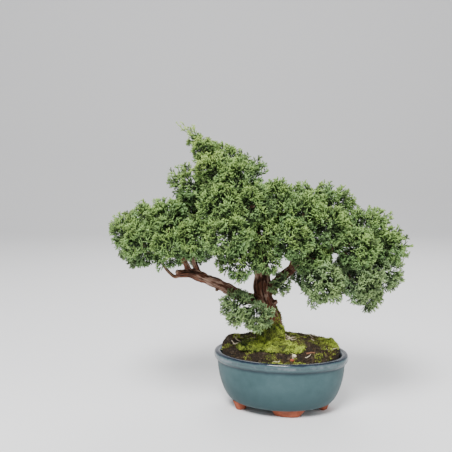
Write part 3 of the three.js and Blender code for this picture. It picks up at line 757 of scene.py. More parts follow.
def wear(made: Piece, finish: Finish) -> None:
    """Gives a piece its finish and no other."""
    made.data.materials.clear()
    made.data.materials.append(finish.material())


def settle(made: Piece, finish: Finish, slot: str, *nodes: str) -> None:
    """Gives a piece its finish, lets it ride, and hides the solids it stands for.

    Args:
        made: The piece.
        finish: Its finish.
        slot: Its slot in the record; not used.
        nodes: The solids that it replaces.
    """
    wear(made, finish)
    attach(made, "root")
    if nodes:
        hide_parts(*nodes)
    log.info("%s: %d triangles", made.name, len(made.data.polygons))


# The pot.
@dataclass
class Pot:
    """The oval bowl with its rolled lip, its four feet and its drainage holes."""

    # Radius and height from the floor's underside over the lip to the floor's top.
    profile: Rows = (
        (53, 7), (59.6, 14), (64.6, 25), (67.9, 38), (68.8, 51), (72.2, 53.2), (72.6, 58.6),
        (70.6, 61), (65.6, 61), (63.8, 52), (59.8, 30), (54, 18), (44.6, 12))
    sides: int = 120
    floor_radius: float = 30.0
    floor_low: float = 7.0
    floor_high: float = 12.0
    wobble: float = 0.005
    foot_height: float = 10.0
    foot_taper: float = 0.6
    foot_sides: int = 72
    # Of each foot: place along the pot and across it, and half length and half width at its top.
    feet: Rows = ((46, 4, 8, 13), (-40, -16, 9, 12), (-12, 28.5, 21, 8), (12, -28.5, 21, 8))
    hole_radius: float = 6.0
    hole_offset: float = 21.0

    def rounded(self) -> Array:
        """The wall's outline with its corners cut three times, each time a quarter from both ends of a side.

        Returns:
            Rows of radius and height.
        """
        low, high = ((self.floor_radius, height) for height in (self.floor_low, self.floor_high))
        line = np.array([low, *self.profile, high])
        for _ in range(3):
            cut = np.stack([0.75 * line[:-1] + 0.25 * line[1:], 0.25 * line[:-1] + 0.75 * line[1:]], axis=1)
            line = np.vstack([line[:1], cut.reshape(-1, 2), line[-1:]])
        return line

    def bowl(self) -> None:
        """The bowl: its outline round an oval, (r cos a, 0.75 r sin a, z), less a drill for each hole."""
        radius, height = self.rounded().T
        grid = ovals(radius, POT_OVAL * radius, height, self.sides)
        uneven = value_noise(grid.reshape(-1, 3) * 0.03, 5).reshape(*grid.shape[:2], 1)
        grid[..., :2] *= 1 + self.wobble * uneven
        points, faces = closed(grid, self.floor_low * UP, self.floor_high * UP)
        whole = add_mesh("pot_whole", (on_pot(points), faces))
        bores = [np.array([[side * self.hole_offset, 0, z] for z in (2.0, 9.0, 18.0)]) for side in (-1, 1)]
        points, faces = merged([tube(line, np.full(3, self.hole_radius), 40) for line in bores])
        drill = add_mesh("pot_drill", (on_pot(points), faces))
        cut = whole.modifiers.new("holes", "BOOLEAN")
        cut.operation, cut.object, cut.solver = "DIFFERENCE", drill, "EXACT"
        points, faces = finished(whole)
        bpy.data.meshes.remove(drill.data)
        along, across, _ = off_pot(points)
        made = add_mesh("pot_bowl", (points, faces), wide=np.hypot(along, across / POT_OVAL))
        settle(made, Glaze("glaze"), "glaze", "pot")

    def foot(self, along: float, across: float, half_long: float, half_wide: float) -> Surface:
        """One foot: ovals that widen from the ground to the bowl, with the lower edge rounded.

        Args:
            along: Place along the pot.
            across: Place across it.
            half_long: Half length at the top.
            half_wide: Half width at the top.
        Returns:
            Its surface.
        """
        height = np.array([0.0, 0.0, 0.25, 0.9, 2.5, 5.0, 7.6, self.foot_height])
        spread = self.foot_taper + (1 - self.foot_taper) * height / self.foot_height
        spread[:3] -= np.array([0.09, 0.045, 0.012])
        middle = np.array([along, across, 0.0])
        grid = ovals(half_long * spread, half_wide * spread, height, self.foot_sides) + middle
        return closed(grid, middle, middle + self.foot_height * UP)

    def build(self) -> None:
        """Makes the bowl and its feet and dresses them."""
        self.bowl()
        points, faces = merged([self.foot(*row) for row in self.feet])
        settle(add_mesh("pot_feet", (on_pot(points), faces)), CLAY, "bare_clay", "pot")


# Soil, moss and litter.
@dataclass(frozen=True)
class Growth:
    """How short moss shoots grow: their lengths, their slimmest radius, and how pale they are."""

    shortest: float
    added: float
    slimmest: float
    uneven_tone: float
    foot_tone: float
    tip_tone: float

    def shoots(self, random: Random, foot: Array, way: Array, vigour: Amount, tone: Amount,
               shade: Amount = 1.0) -> tuple[Surface, Array]:
        """Spindles of different length and radius, with a tone for each of their points.

        Args:
            random: Source of random numbers.
            foot: Foot of each shoot.
            way: Its direction.
            vigour: Share of the full length.
            tone: Its own tone, from 0 to 1.
            shade: Share of light that it gets.
        Returns:
            The surface and the tones.
        """
        count = len(foot)
        length = (self.shortest + self.added * random.random(count)) * vigour
        surface = spindles(foot, way, length, self.slimmest + 0.25 * random.random(count))
        own = tone + self.uneven_tone * random.random(count)[:, None]
        own = own + np.array([self.foot_tone, 0, 0, 0, self.tip_tone])
        return surface, np.clip(own * shade, 0, 1).ravel()


CUSHION_GROWTH = Growth(1.0, 1.5, 0.32, 0.25, -0.2, 0.3)
SOIL_GROWTH = Growth(0.9, 1.3, 0.3, 0.25, -0.2, 0.25)
BARK_GROWTH = Growth(0.9, 1.5, 0.3, 0.35, -0.15, 0.2)


@dataclass(frozen=True)
class Hump:
    """One hump of moss: its middle, half sizes, turn, lean to a cone, how young and bright it is, partly as
    painted light, and its shoots.
    """

    at: tuple[float, float, float]
    half: tuple[float, float, float]
    turn: float
    skirt: float
    freshness: float
    count: int

    def skin(self, way: Array) -> Array:
        """Points of the hump: a unit ball leant towards a cone, stretched, and pushed in and out by noise.

        Args:
            way: Directions of length one.
        Returns:
            Points about the hump's middle.
        """
        out = way.copy()
        cone = 1 - np.hypot(way[:, 0], way[:, 1])
        out[:, 2] = np.where(way[:, 2] > 0, way[:, 2] * (1 - self.skirt) + cone * self.skirt, 0.9 * way[:, 2])
        out = out * self.half
        lumps = layered(out, (1.9, 0.16, 11), (1.3, 0.42, 12), (0.5, 1, 13))
        return out + unit(way / self.half) * (lumps - 0.3)[:, None]

    def grown(self, random: Random) -> tuple[Surface, Array]:
        """The hump's dome with short shoots along its outward directions.

        Args:
            random: Source of random numbers.
        Returns:
            The surface, and the tone of each of its points.
        """
        sphere, faces = ball(30, 60)
        dome = self.skin(sphere)
        height = random.random(self.count)
        way = ways_at(height, random.random(self.count) * 2 * math.pi)
        foot = self.skin(way) * 0.985
        lean = strayed(random, way / self.half * min(self.half) + 0.3 * UP, 0.6)
        clump = np.clip(self.freshness + 1.5 * value_noise((foot + self.at) * 0.22, 14), 0, 1)
        lit = np.clip((foot[:, :1] + self.at[0] + 45) / 50, 0.35, 1)
        shoots, own = CUSHION_GROWTH.shoots(random, foot, lean, 0.7 + 0.6 * clump, 0.60 * clump[:, None], lit)
        points, faces = merged([(dome, faces), shoots])
        return (turned(points, self.turn) + self.at, faces), np.concatenate([np.full(len(dome), 0.05), own])


CUSHIONS: dict[str, list[Hump]] = {
    "moss_trunk_foot": [Hump((13, -4, 70), (15, 15, 28), 0.0, 0.25, 0.22, 3400),
                        Hump((1, -12, 68), (25, 15, 8), -0.1, 0.2, 0.3, 2800)],
    "moss_front": [Hump((22, -22, 68), (26, 12, 7.5), -0.2, 0.2, 0.42, 3000)],
    # The right cushion's high value paints it brighter: painted light.
    "moss_right": [Hump((70, -3, 65.5), (15, 13, 8), -0.2, 0.2, 1.3, 2600)],
}


def seed_of(name: str) -> Random:
    """Random numbers that belong to a name."""
    return np.random.default_rng(sum(map(ord, name)))


@dataclass
class Ground:
    """The soil and what lies and grows on it."""

    crown: float = 58.5
    reach: float = 64.0
    bottom: float = 13.4
    wall: Rows = ((42.8, 13.4), (52.2, 18.8), (58.1, 30.6), (62.1, 50))
    sides: int = 150
    grains: int = 5200
    creepers: int = 20000
    straws: int = 46
    trunk_straws: int = 16
    seed: int = 7
    # Of the mound: height, half length, half width, and how far back its middle lies.
    mound: tuple[float, ...] = (15.0, 72.0, 47.0, 6.0)
    # Of the heap: height, x, y and radius.
    heap: tuple[float, ...] = (6.0, -30.0, 13.0, 11.0)
    # How the patches of creeping moss thin out away from the trunk.
    fall: float = 0.55

    def rise(self, points: Array) -> Array:
        """How far the soil's top stands above its rim: a mound, height x (1 - broad^2), a heap, height x
        e^-(distance/radius)^2, and low waves, all as in the solid model, and crumbs of noise.

        Args:
            points: Places.
        Returns:
            Heights.
        """
        x, y = points[:, 0], points[:, 1]
        along, across, _ = off_pot(points)
        height, half_long, half_wide, back = self.mound
        broad = np.minimum(1.0, (along / half_long) ** 2 + ((across - back) / half_wide) ** 2)
        top, middle_x, middle_y, radius = self.heap
        heap = top * np.exp(-((x - middle_x) ** 2 + (y - middle_y) ** 2) / radius ** 2)
        waves = 0.9 * np.sin(x * 0.31 + y * 0.17) * np.cos(y * 0.37 - x * 0.11)
        crumbs = layered(points * [1, 1, 0], (0.55, 0.55, 3), (0.35, 1.3, 4))
        return height * (1 - broad ** 2) + heap + waves + crumbs

    def bed(self) -> None:
        """The soil: a plug that follows the pot's wall, with its top raised."""
        top = [(self.reach * share, self.crown) for share in np.linspace(1.0, 0.03, 46)]
        radius, height = np.array([*self.wall, *top]).T
        grid = ovals(radius, POT_OVAL * radius, height, self.sides)
        points, faces = closed(grid, self.bottom * UP, self.crown * UP)
        points = on_pot(points)
        high = points[:, 2] > self.crown - 0.5
        points[high, 2] += self.rise(points[high])
        settle(add_mesh("soil_bed", (points, faces)), SOIL, "soil", "soil")

    def scatter(self, count: int, random: Random, edge: float) -> Array:
        """Places spread evenly over the soil's top.

        Args:
            count: How many.
            random: Source of random numbers.
            edge: Share of the soil's half length that they reach.
        Returns:
            Points on the soil.
        """
        radius = self.reach * edge * np.sqrt(random.random(count))
        angle = random.random(count) * 2 * math.pi
        flat = np.stack([radius * np.cos(angle), POT_OVAL * radius * np.sin(angle), np.zeros(count)], axis=1)
        points = on_pot(flat)
        points[:, 2] = self.crown + self.rise(points)
        return points

    def crumbs(self) -> None:
        """Loose grains: eight-sided lumps whose corners are pushed in and out, half sunk in the soil."""
        random = np.random.default_rng(self.seed)
        place = self.scatter(self.grains, random, 0.97)
        size = 0.45 + 1.0 * random.random(self.grains) ** 3
        corners = np.array([[1, 0, 0], [-1, 0, 0], [0, 1, 0], [0, -1, 0], [0, 0, 1], [0, 0, -1]], float)
        faces = np.array([
            [0, 2, 4], [2, 1, 4], [1, 3, 4], [3, 0, 4], [2, 0, 5], [1, 2, 5], [3, 1, 5], [0, 3, 5]])
        turn = random.random((self.grains, 1)) * 2 * math.pi
        lumps = turned(corners * (0.7 + 0.6 * random.random((self.grains, 6, 1))), turn)
        points = (place[:, None] + lumps * size[:, None, None]).reshape(-1, 3)
        faces = (np.arange(self.grains)[:, None, None] * len(corners) + faces).reshape(-1, 3)
        own = np.repeat(random.random(self.grains) ** 2, len(corners))
        settle(add_mesh("soil_crumbs", (points, faces), False, own=own), CRUMB, "soil")

    def cushion(self, name: str) -> None:
        """A moss cushion: its humps, grown from one run of random numbers.

        Args:
            name: Name of its solid.
        """
        random = seed_of(name)
        surfaces, own = zip(*(hump.grown(random) for hump in CUSHIONS[name]))
        settle(add_mesh(name + "_tufts", merged(surfaces), own=np.concatenate(own)), MOSS, "moss", name)

    def creeping(self, name: str, finish: Finish, bare: float) -> None:
        """Moss crept over the soil: short shoots where a patchy noise, higher near the trunk, is over bare.

        Args:
            name: Name of the piece.
            finish: Its finish.
            bare: Value of the noise below which the soil is bare.
        """
        random = seed_of(name)
        place = self.scatter(self.creepers, random, 0.985)
        patch = layered(place, (1, [0.085, 0.085, 0], 21), (0.6, 0.3, 22))
        away = np.hypot((place[:, 0] - 30) / 40, (place[:, 1] + 4) / 28)
        place = place[patch + 0.45 - self.fall * away > bare]
        clump = np.clip(0.42 + layered(place, (0.9, [0.13, 0.13, 0], 23)), 0, 1)
        way = strayed(random, np.broadcast_to(UP, place.shape), 0.6)
        surface, own = SOIL_GROWTH.shoots(
            random, place - 0.3 * UP, way, 0.7 + 0.7 * clump, 0.55 * clump[:, None])
        settle(add_mesh(name, surface, own=own), finish, "moss")

    def fallen(self) -> None:
        """Fallen dry shoots and thin rootlets: short bent tubes that lie on the soil."""
        random = np.random.default_rng(self.seed + 2)
        beside_trunk = np.array([33.0, -1.0, 0.0]) + random.normal(size=(self.trunk_straws, 3)) * [5, 4, 0]
        tubes = []
        for at in np.vstack([beside_trunk, self.scatter(self.straws, random, 0.93)]):
            turn = random.random() * 2 * math.pi
            length = 3 + 6 * random.random()
            way = np.array([math.cos(turn), math.sin(turn), 0.0])
            aside = np.array([-way[1], way[0], 0.0]) * (random.random() - 0.5) * length
            t = np.linspace(0, 1, 6)[:, None]
            line = at + way * length * t + aside * t * (1 - t) * 2
            line[:, 2] = self.crown + self.rise(line) + 0.7 + 2.2 * random.random() * t[:, 0]
            tubes.append(tube(line, np.linspace(0.5, 0.25, 6), 5))
        settle(add_mesh("fallen_straws", merged(tubes)), STRAW, "dry_wood")

    def lump(self, node: str, seed: int, finish: Finish, slot: str) -> None:
        """A small stone: a ball stretched to its solid's box and pushed in and out by noise.

        Args:
            node: The solid.
            seed: Which noise.
            finish: The stone's finish.
            slot: Its slot in the record.
        """
        middle, half = node_box(node)
        points, faces = ball(14, 24)
        points = points * (1 + layered(points, (0.16, 1.6, seed), (0.06, 4, seed)))[:, None]
        settle(add_mesh(node + "_worn", (middle + points * half, faces)), finish, slot, node)

    def twiglet(self) -> None:
        """The dry twig: a bent tube that thins to one end, with a side spur."""
        middle, half = node_box("dry_twiglet")
        t = np.linspace(-1, 1, 14)
        wave = [(half[0] - 0.6) * t, 1.2 * t + 0.5 * np.sin(3 * t), 0.35 * np.cos(2.2 * t)]
        line = middle + np.stack(wave, axis=1)
        spur = line[5] + np.array([[0, 0, 0], [1.2, 1.4, 0.4], [2.6, 2.4, 0.3]])
        twigs = [tube(line, 0.75 - 0.25 * t, 8), tube(spur, np.array([0.5, 0.4, 0.2]), 6)]
        settle(add_mesh("dry_twiglet_bent", merged(twigs)), DRY_WOOD, "dry_wood", "dry_twiglet")

    def build(self) -> None:
        """Makes the soil, the moss and the litter and dresses them."""
        self.bed()
        self.crumbs()
        for name in CUSHIONS:
            self.cushion(name)
        self.creeping("moss_creeping", MOSS, 0.08)
        self.creeping("moss_old_shoots", OLD_MOSS, -0.20)
        self.fallen()
        self.lump("clay_granule", 31, CLAY, "bare_clay")
        self.lump("pale_pebble", 32, GRIT, "pebble")
        self.twiglet()
        for node in ("drain_net_1", "drain_net_2"):
            wear(frame["nodes"][node], NETTING)


# Wood.
@dataclass
class Bunch:
    """One bunch of foliage: its node, limb, place and size, and how far its shoots rise."""

    node: str
    limb: str
    centre: Array
    radius: float
    rise: float
    samples: int = 61
    # How its twig leaves the limb, bends on, arches up, reaches in and thins, as in the solid model.
    setback: float = 0.3
    ahead: float = 0.12
    arch: float = 0.1
    inside: float = 0.55
    thickest: float = 2.2
    thinnest: float = 1.2

    def sweep(self) -> Array:
        """The way that its shoots lean: outwards from the trunk, and up or down."""
        return unit(np.append(unit(self.centre[:2]), self.rise))

    def twig(self) -> Route:
        """The twig that carries it: it leaves the limb a little before its nearest point, arches over and
        ends at the bunch's foot.

        Returns:
            x, y, z and radius of its root, its middle and its end.
        """
        line, width = smooth_route(LIMBS[self.limb], self.samples)
        last = self.samples - 1
        length = np.linalg.norm(np.diff(line, axis=0), axis=1).sum()
        away = np.linalg.norm(line - self.centre, axis=1)
        back = max(1, int(away.argmin()) - round(self.setback * away.min() * last / length))
        root = line[back]
        reach = np.linalg.norm(self.centre - root)
        inside = min(self.inside * self.radius, reach / 2)
        bow = reach - inside
        onward = self.ahead * unit(line[min(back + 1, last)] - line[back - 1]) + self.arch * UP
        middle = root + (self.centre - root) * 0.5 * bow / reach + bow * onward
        foot = self.centre + unit(middle - self.centre) * inside
        base = min(self.thickest, width[back] * 0.6 + 0.3)
        return [[*root, base], [*middle, (base + 1.3) / 2], [*foot, self.thinnest]]


@dataclass
class Wood:
    """Trunk, branches, stubs and twigs in one skin with bark relief."""

    bunches: list[Bunch]
    voxel: float = 1.0
    step: float = 1.0
    sides: int = 14
    block: int = 4000
    # Depth of the relief on the thinnest twig, and what the thickest wood adds to it.
    furrows: tuple[float, float] = (0.0, 1.5)
    flakes: tuple[float, float] = (0.14, 0.38)
    knots: tuple[float, float] = (0.15, 0.9)
    moss_low: float = 70.0
    moss_top: float = 108.0
    moss_reach: float = 18.0
    moss_share: float = 0.6

    def build(self) -> None:
        """Joins tubes into one skin, raises the bark on it, and lets moss climb its foot."""
        tubes, samples = [], []
        routes = [*LIMBS.values(), *ROOTS, *STUBS, *(bunch.twig() for bunch in self.bunches)]
        for number, rows in enumerate(routes):
            line, radius, along = even_route(rows, self.step)
            if number == 0:
                radius = radius * (1 + 0.10 * np.sin(along * 0.16) + 0.05 * np.sin(along * 0.37))
            radius = radius + 0.3 * np.clip(radius / 3 - 1, 0, 1)
            tubes.append(tube(line, radius, self.sides))
            row = [line, radius, along, np.full(len(line), number), *carried_sides(line)]
            samples.append(np.column_stack(row))
        rough = add_mesh("wood_rough", merged(tubes))
        skin = rough.modifiers.new("skin", "REMESH")
        skin.mode, skin.voxel_size = "VOXEL", self.voxel * MM
        soften = rough.modifiers.new("soften", "SMOOTH")
        soften.factor, soften.iterations = 0.5, 4
        self.mossed(*self.barked(*finished(rough), np.vstack(samples)))

    def barked(self, points: Array, faces: Array, samples: Array) -> tuple[Array, Array]:
        """Moves each point along its normal by long furrows, flakes and knots, measured on the nearest limb.

        Args:
            points: The skin's points.
            faces: Its triangles.
            samples: Rows of centre, radius, length along, limb number, normal and binormal.
        Returns:
            The bark's points, and the outward direction at each.
        """
        nearest = np.empty(len(points), int)
        centres, radii = samples[:, :3], samples[:, 3]
        for start in range(0, len(points), self.block):
            part = points[start:start + self.block]
            square = (part ** 2).sum(1)[:, None] + (centres ** 2).sum(1)[None] - 2 * part @ centres.T
            nearest[start:start + self.block] = (np.sqrt(np.maximum(square, 0)) - radii).argmin(1)
        row = samples[nearest]
        out = points - row[:, :3]
        radius, along, number = row[:, 3], row[:, 4], row[:, 5:6]
        x, y = (out * row[:, 6:9]).sum(1), (out * row[:, 9:12]).sum(1)
        place = np.column_stack([x, y, along * 0.22]) + number * 37.0
        thick = np.clip((radius - 1.6) / 5, 0, 1)
        furrow = 1 - np.abs(value_noise(place * [0.42, 0.42, 0.30], 41)) - 0.72
        flake = value_noise(place * [0.9, 0.9, 0.8], 42)
        knot = value_noise(np.column_stack([x, y, along]) * 0.16 + number * 11, 43)
        forms = ((furrow, self.furrows), (flake, self.flakes), (knot, self.knots))
        relief = sum(form * (least + more * thick) for form, (least, more) in forms)
        side = np.cross(points[faces[:, 1]] - points[faces[:, 0]], points[faces[:, 2]] - points[faces[:, 0]])
        normal = np.zeros_like(points)
        for k in range(3):
            np.add.at(normal, faces[:, k], side)
        normal = unit(normal)
        points = points + normal * relief[:, None]
        made = add_mesh(
            "trunk_and_branches_bark", (points, faces), bark_place=place * MM,
            bark_height=np.clip(0.5 + 1.1 * furrow + 0.3 * flake, 0, 1),
            bark_young=1 - np.clip((radius - 1.3) / 1.6, 0, 1))
        settle(made, Bark("bark"), "bark", "trunk_and_branches")
        return points, normal

    def mossed(self, points: Array, normal: Array) -> None:
        """Moss that climbs the foot of the trunk: short shoots on the bark, fewer the higher, in patches.

        Args:
            points: The bark's points.
            normal: Its outward directions.
        """
        random = np.random.default_rng(19)
        left = (self.moss_top - points[:, 2]) / (self.moss_top - self.moss_low)
        patch = layered(points, (1, 0.17, 61), (0.5, 0.5, 62))
        near = np.hypot(points[:, 0] - 14, points[:, 1] - 2) < self.moss_reach
        near &= points[:, 2] > self.moss_low - 4
        keep = near & (left + 0.55 * patch > 0.25) & (random.random(len(points)) < self.moss_share)
        foot, out = points[keep], normal[keep]
        way = strayed(random, out + 0.5 * UP, 0.5)
        surface, own = BARK_GROWTH.shoots(random, foot - out * 0.3, way, 1.0, 0.18)
        settle(add_mesh("moss_on_bark", surface, own=own), MOSS, "moss")


# Foliage.
@dataclass
class Shoots:
    """The surface of many shoots, with how far along each point lies, the shoot's own tint, and how young it
    is, which is also painted light on shoots that face up and out.
    """

    parts: list[Surface] = field(default_factory=list)
    rows: list[Array] = field(default_factory=list)

    def add(self, foot: Array, way: Array, length: Amount, radius: float, tint: Amount,
            fresh: Amount) -> None:
        """Adds shoots.

        Args:
            foot: Foot of each shoot.
            way: Its direction.
            length: Its length.
            radius: The radius of all of them.
            tint: Its tint from 0 to 1.
            fresh: How young it is, which is also painted light on shoots that face up and out, from 0 to 1.
        """
        shape = foot.shape[:-1]
        length, tint, fresh = (np.broadcast_to(value, shape).ravel() for value in (length, tint, fresh))
        self.parts.append(spindles(foot.reshape(-1, 3), way.reshape(-1, 3), length, radius))
        repeats = len(SHOOT_STEPS)
        along = np.tile(SHOOT_STEPS, length.size)
        self.rows.append(np.stack([along, np.repeat(tint, repeats), np.repeat(fresh, repeats)]))


def on_curves(three: Array, u: Array) -> tuple[Array, Array]:
    """Curves of three points: places (1-u)^2 p + 2u(1-u) q + u^2 r, directions (u-1) p + (1-2u) q + u r."""
    place = np.stack([(1 - u) ** 2, 2 * u * (1 - u), u * u], axis=-1) @ three
    return place, unit(np.stack([u - 1, 1 - 2 * u, u], axis=-1) @ three)


@dataclass
class Foliage:
    """A bunch of foliage: a plume of forked shoots on each needle of the solid bunch, and between them."""

    bunch: Bunch
    bunches: list[Bunch]
    tone: Tone
    usual_radius: float = 25.0
    between: int = 48
    # Shares of the way out at which a plume's stem starts and bends, and how far it droops there.
    stem_start: float = 0.22
    stem_bend: float = 0.64
    stem_droop: float = 0.10
    stem_stops: tuple[float, ...] = (0.0, 0.36, 0.70, 1.0)
    sides: int = 6
    # Of the first side shoot and the last: place on the stem and length.
    side_places: tuple[float, float] = (0.32, 0.96)
    side_long: float = 11.0
    side_short: float = 6.4
    # Angle to the stem in degrees at its foot, and how much it closes towards its end.
    side_angle: float = 46.0
    side_closing: float = 20.0
    shoot_radius: float = 0.80
    fork_angle: float = 0.58
    fork_places: tuple[float, float] = (0.32, 0.56)
    fork_lengths: tuple[float, float] = (0.66, 0.54)
    inner: int = 60

    def room(self, way: Array) -> Array:
        """How far each direction goes before it meets the flat face between this bunch and another, as in the
        solid model: the face's distance over the cosine of the angle to it.

        Args:
            way: Directions of length one.
        Returns:
            Lengths.
        """
        others = [other for other in self.bunches if other is not self.bunch]
        across = np.array([other.centre for other in others]) - self.bunch.centre
        apart = np.linalg.norm(across, axis=1)
        radii = np.array([other.radius for other in others])
        face = (apart ** 2 + self.bunch.radius ** 2 - radii ** 2) / (2 * apart)
        slope = way @ (across / apart[:, None]).T
        return np.where(slope > 1e-6, face / np.maximum(slope, 1e-6), np.inf).min(axis=1)

    def needles(self) -> Array:
        """The tips of the needles of the solid bunch: its far corners where just three faces meet.

        Returns:
            The tips.
        """
        points, faces = read_mesh(frame["nodes"][self.bunch.node].data)
        _, first, same = np.unique(np.round(points, 2), axis=0, return_index=True, return_inverse=True)
        places = points[first]
        count = np.bincount(same.reshape(-1)[faces.ravel()], minlength=len(places))
        far = np.linalg.norm(places - self.bunch.centre, axis=1) > 0.5 * self.bunch.radius
        return places[(count == 3) & far]

    def ends(self, random: Random) -> Array:
        """Where the plumes end: on the needles' tips, and between them a little further in, where heights in
        even steps are each turned on by the golden angle.

        Args:
            random: Source of random numbers.
        Returns:
            The ends.
        """
        bunch = self.bunch
        count = max(8, round(self.between * (bunch.radius / self.usual_radius) ** 2))
        step = np.arange(count)
        even = ways_at(1 - 2 * (step + 0.5) / count, step * math.pi * (3 - math.sqrt(5)))
        way = strayed(random, even, 0.16)
        under = np.where(way @ bunch.sweep() < -0.36, 0.84, 0.95)
        uneven = 0.20 * random.random(count) + 0.12 * value_noise(way * 2.3 + bunch.centre, 51)
        share = under * (0.84 + uneven)
        reach = np.minimum(bunch.radius * share, self.room(way))
        thinned = self.needles()[::3 if bunch.radius < 15 else 1]
        return np.vstack([thinned, bunch.centre + way * reach[:, None]])

    def grow(self, random: Random) -> Shoots:
        """Shoots of every plume: pieces of its stem, side shoots that leave it left and right by turns, and
        two shorter ones on each of those.

        Args:
            random: Source of random numbers.
        Returns:
            The shoots.
        """
        centre, radius, sweep = self.bunch.centre, self.bunch.radius, self.bunch.sweep()
        out = Shoots()
        end = self.ends(random)
        n, k = len(end), self.sides
        line = end - centre
        bend = centre + self.stem_bend * line
        bend = bend - sweep * (self.stem_droop * np.linalg.norm(line, axis=1))[:, None]
        stems = np.stack([centre + self.stem_start * line, bend, end], axis=1)
        slim = self.shoot_radius * min(1.0, max(0.72, radius / self.usual_radius))
        own = 0.52 + 0.24 * random.normal(size=(n, 1))
        # Shoots that face up and out are younger and paler: young growth, and painted light on that side.
        young = 0.42 + 0.42 * (unit(line) @ sweep)[:, None] + 0.16 * random.normal(size=(n, 1))
        young = np.clip(young, 0, 1)
        place, _ = on_curves(stems, np.tile(self.stem_stops, (n, 1)))
        step = np.diff(place, axis=1)
        # The stem's pieces nearer the middle get less tint and so are darker: painted shade inside the bunch.
        out.add(place[:, :-1], unit(step), np.linalg.norm(step, axis=-1) * 1.12, slim,
                own * np.array([0.5, 0.8, 1.0]), young)

        first, last = self.side_places
        u = first + (last - first) * (np.arange(k) + 0.5) / k + 0.05 * (random.random((n, k)) - 0.5)
        place, tangent = on_curves(stems, u)
        first, second = perpendicular(tangent)
        roll = random.random((n, 1)) * 2 * math.pi + np.arange(k) * math.pi
        roll = roll + 0.75 * random.normal(size=(n, k))
        aside = first * np.cos(roll)[..., None] + second * np.sin(roll)[..., None]
        angle = self.side_angle - self.side_closing * u + 6 * random.normal(size=(n, k))
        angle = np.radians(angle)[..., None]
        way = unit(tangent * np.cos(angle) + aside * np.sin(angle) + 0.16 * sweep)
        length = self.side_long + (self.side_short - self.side_long) * u
        length = length * math.sqrt(radius / self.usual_radius) * (0.75 + 0.5 * random.random((n, k)))
        length = np.minimum(length, np.linalg.norm(end[:, None] - place, axis=-1) + 2.4)
        tint = own + 0.22 * random.normal(size=(n, k))
        out.add(place, way, length, slim, tint, young)

        lie = strayed(random, np.cross(way, np.cross(tangent, way) + 1e-6), 0.5)
        lie = unit(lie - way * (lie * way).sum(-1, keepdims=True))
        foot = place[:, :, None] + way[:, :, None] * (length[..., None] * self.fork_places)[..., None]
        hand = math.sin(self.fork_angle) * np.array([[1.0], [-1.0]])
        fork = way[:, :, None] * math.cos(self.fork_angle) + lie[:, :, None] * hand
        fork = strayed(random, fork, 0.10)
        short = length[..., None] * self.fork_lengths * (0.8 + 0.4 * random.random((n, k, 2)))
        tint = tint[..., None] + 0.16 * random.normal(size=short.shape)
        out.add(foot, fork, short, slim * 0.88, tint, young[..., None])
        return out

    def build(self) -> None:
        """Makes the bunch: plumes, inner shoots darkened as painted shade, and the end of the twig."""
        bunch = self.bunch
        random = np.random.default_rng(sum(ord(c) * (i + 7) for i, c in enumerate(bunch.node)))
        shoots = self.grow(random)
        # Inner shoots of low tint, dark as painted shade inside the bunch.
        way = unit(random.normal(size=(self.inner, 3)))
        foot = bunch.centre + way * bunch.radius * (0.05 + 0.30 * random.random((self.inner, 1)))
        way = strayed(random, way, 0.5)
        shoots.add(foot, way, 5 + 4 * random.random(self.inner), 0.8, 0.2, 0.0)
        foot = np.array([bunch.twig()[-1][:3]])
        shoots.add(foot, unit(bunch.centre - foot), np.linalg.norm(bunch.centre - foot) * 1.1, 1.1, 0.1, 0.0)
        points, faces = merged(shoots.parts)
        along, tint, fresh = np.hstack(shoots.rows)
        far = np.linalg.norm(points - bunch.centre, axis=1) / bunch.radius
        # Dark deep in the bunch, which is painted shade, and from each shoot's foot to its paler tip.
        outness = np.clip(0.60 * (far - 0.40) + 1.05 * (along - 0.34), 0, 1)
        numbers = {"outness": outness, "tint": np.clip(tint, 0, 1), "fresh": fresh}
        made = add_mesh(bunch.node + "_shoots", (points, faces), **numbers)
        settle(made, NEEDLE_FINISHES[self.tone], self.tone.value, bunch.node)


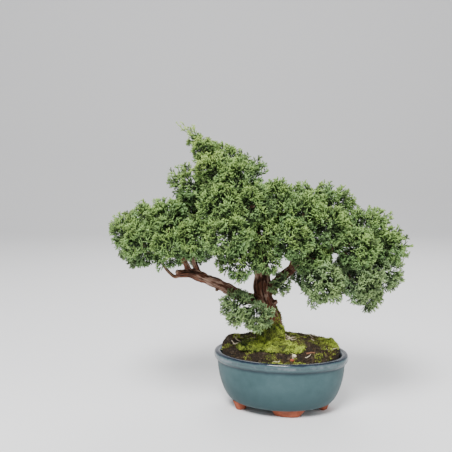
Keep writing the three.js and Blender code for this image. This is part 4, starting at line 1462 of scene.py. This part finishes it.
# Studio.
@dataclass
class Studio:
    """A pale floor with a backdrop, soft lights, and the camera at the photograph's viewpoint."""

    eye: tuple[float, float, float] = (-58.7, -767.0, 276.0)
    down: float = math.radians(3.0)
    horizon_row: float = 151.0
    focal_pixels: float = 719.0
    image_pixels: float = 452.0
    # The floor's front edge, its half width, where it bends up, how wide the bend is, and the wall's top.
    floor_front: float = 4000.0
    floor_half: float = 5000.0
    bend_start: float = 1600.0
    bend_radius: float = 900.0
    wall_top: float = 4200.0
    floor: Colour = (0.80, 0.80, 0.81)
    sky: float = 0.7
    # Where the lamps look, in metres.
    aim: Vector = Vector((0, 0, 0.15)).freeze()
    # Of each lamp: its name, its place and side in metres, and its power in watts.
    lamps: tuple[tuple[str, tuple[float, float, float], float, float], ...] = (
        ("key", (-0.3, -1.0, 1.35), 0.6, 50.0), ("fill", (1.1, -0.8, 0.7), 1.1, 6.0),
        ("back", (0.2, 0.9, 1.2), 0.9, 12.0))

    def backdrop(self) -> None:
        """Floor and backdrop in one: straight, then a quarter circle, then straight up."""
        turn = np.linspace(0, math.pi / 2, 24)
        bend = self.bend_start + self.bend_radius * np.sin(turn)
        run = np.concatenate([[-self.floor_front], bend, bend[-1:]])
        height = np.concatenate([[0.0], self.bend_radius * (1 - np.cos(turn)), [self.wall_top]]) - 0.05
        sides = (-self.floor_half, self.floor_half)
        points = np.array([[side, y, z] for y, z in zip(run, height) for side in sides])
        i = np.arange(len(run) - 1) * 2
        faces = np.vstack([np.stack([i, i + 1, i + 3], 1), np.stack([i, i + 3, i + 2], 1)])
        made = add_mesh("floor", (points, faces))
        paper = bpy.data.materials.new("floor_paper")
        paper.use_nodes = True
        shader = paper.node_tree.nodes["Principled BSDF"]
        shader.inputs["Base Color"].default_value = (*self.floor, 1)
        shader.inputs["Roughness"].default_value = 0.75
        made.data.materials.append(paper)

    def light(self) -> None:
        """Square soft lamps that look at the tree, and an even pale sky."""
        for name, place, side, power in self.lamps:
            data = bpy.data.lights.new(name, "AREA")
            data.shape, data.size, data.energy = "SQUARE", side, power
            made = add_object(name, data)
            made.location = place
            made.rotation_euler = (self.aim - Vector(place)).to_track_quat("-Z", "Y").to_euler()
        world = bpy.data.worlds.new("studio")
        world.use_nodes = True
        world.node_tree.nodes["Background"].inputs[0].default_value = (1, 1, 1, 1)
        world.node_tree.nodes["Background"].inputs[1].default_value = self.sky
        bpy.context.scene.world = world

    def camera(self) -> None:
        """The camera, tipped down, with its picture shifted so that the horizon keeps its row."""
        data = bpy.data.cameras.new("camera")
        data.sensor_width = 36.0
        data.lens = data.sensor_width * self.focal_pixels / self.image_pixels
        data.clip_start, data.clip_end = 0.05, 20
        middle_row = self.horizon_row + self.focal_pixels * math.tan(self.down)
        data.shift_y = (middle_row - self.image_pixels / 2) / self.image_pixels
        made = add_object("camera", data)
        made.location = (POT_CENTRE + SHIFT + self.eye) * MM
        made.rotation_euler = (math.pi / 2 - self.down, 0, 0)
        bpy.context.scene.camera = made

    def build(self) -> None:
        """Sets the floor, the lights and the camera."""
        self.backdrop()
        self.light()
        self.camera()


def main() -> None:
    """Builds and dresses the whole tree."""
    Studio().build()
    Pot().build()
    Ground().build()
    bunches = [
        Bunch(f"foliage_{group}_{i + 1}", limb, np.array(row[:3], float), row[3], rise)
        for group, (limb, rise, rows) in GROUPS.items() for i, row in enumerate(rows)]
    Wood(bunches).build()
    slots = {row["node"]: row["material_slot"] for row in frame["record"]["subparts"]}
    for bunch in bunches:
        Foliage(bunch, bunches, Tone(slots[bunch.node])).build()
    added = [o for o in bpy.data.objects if o.type == "MESH" and o.name not in frame["nodes"]]
    log.info("all added pieces: %d triangles", sum(len(made.data.polygons) for made in added))


if __name__ == "__main__":
    main()
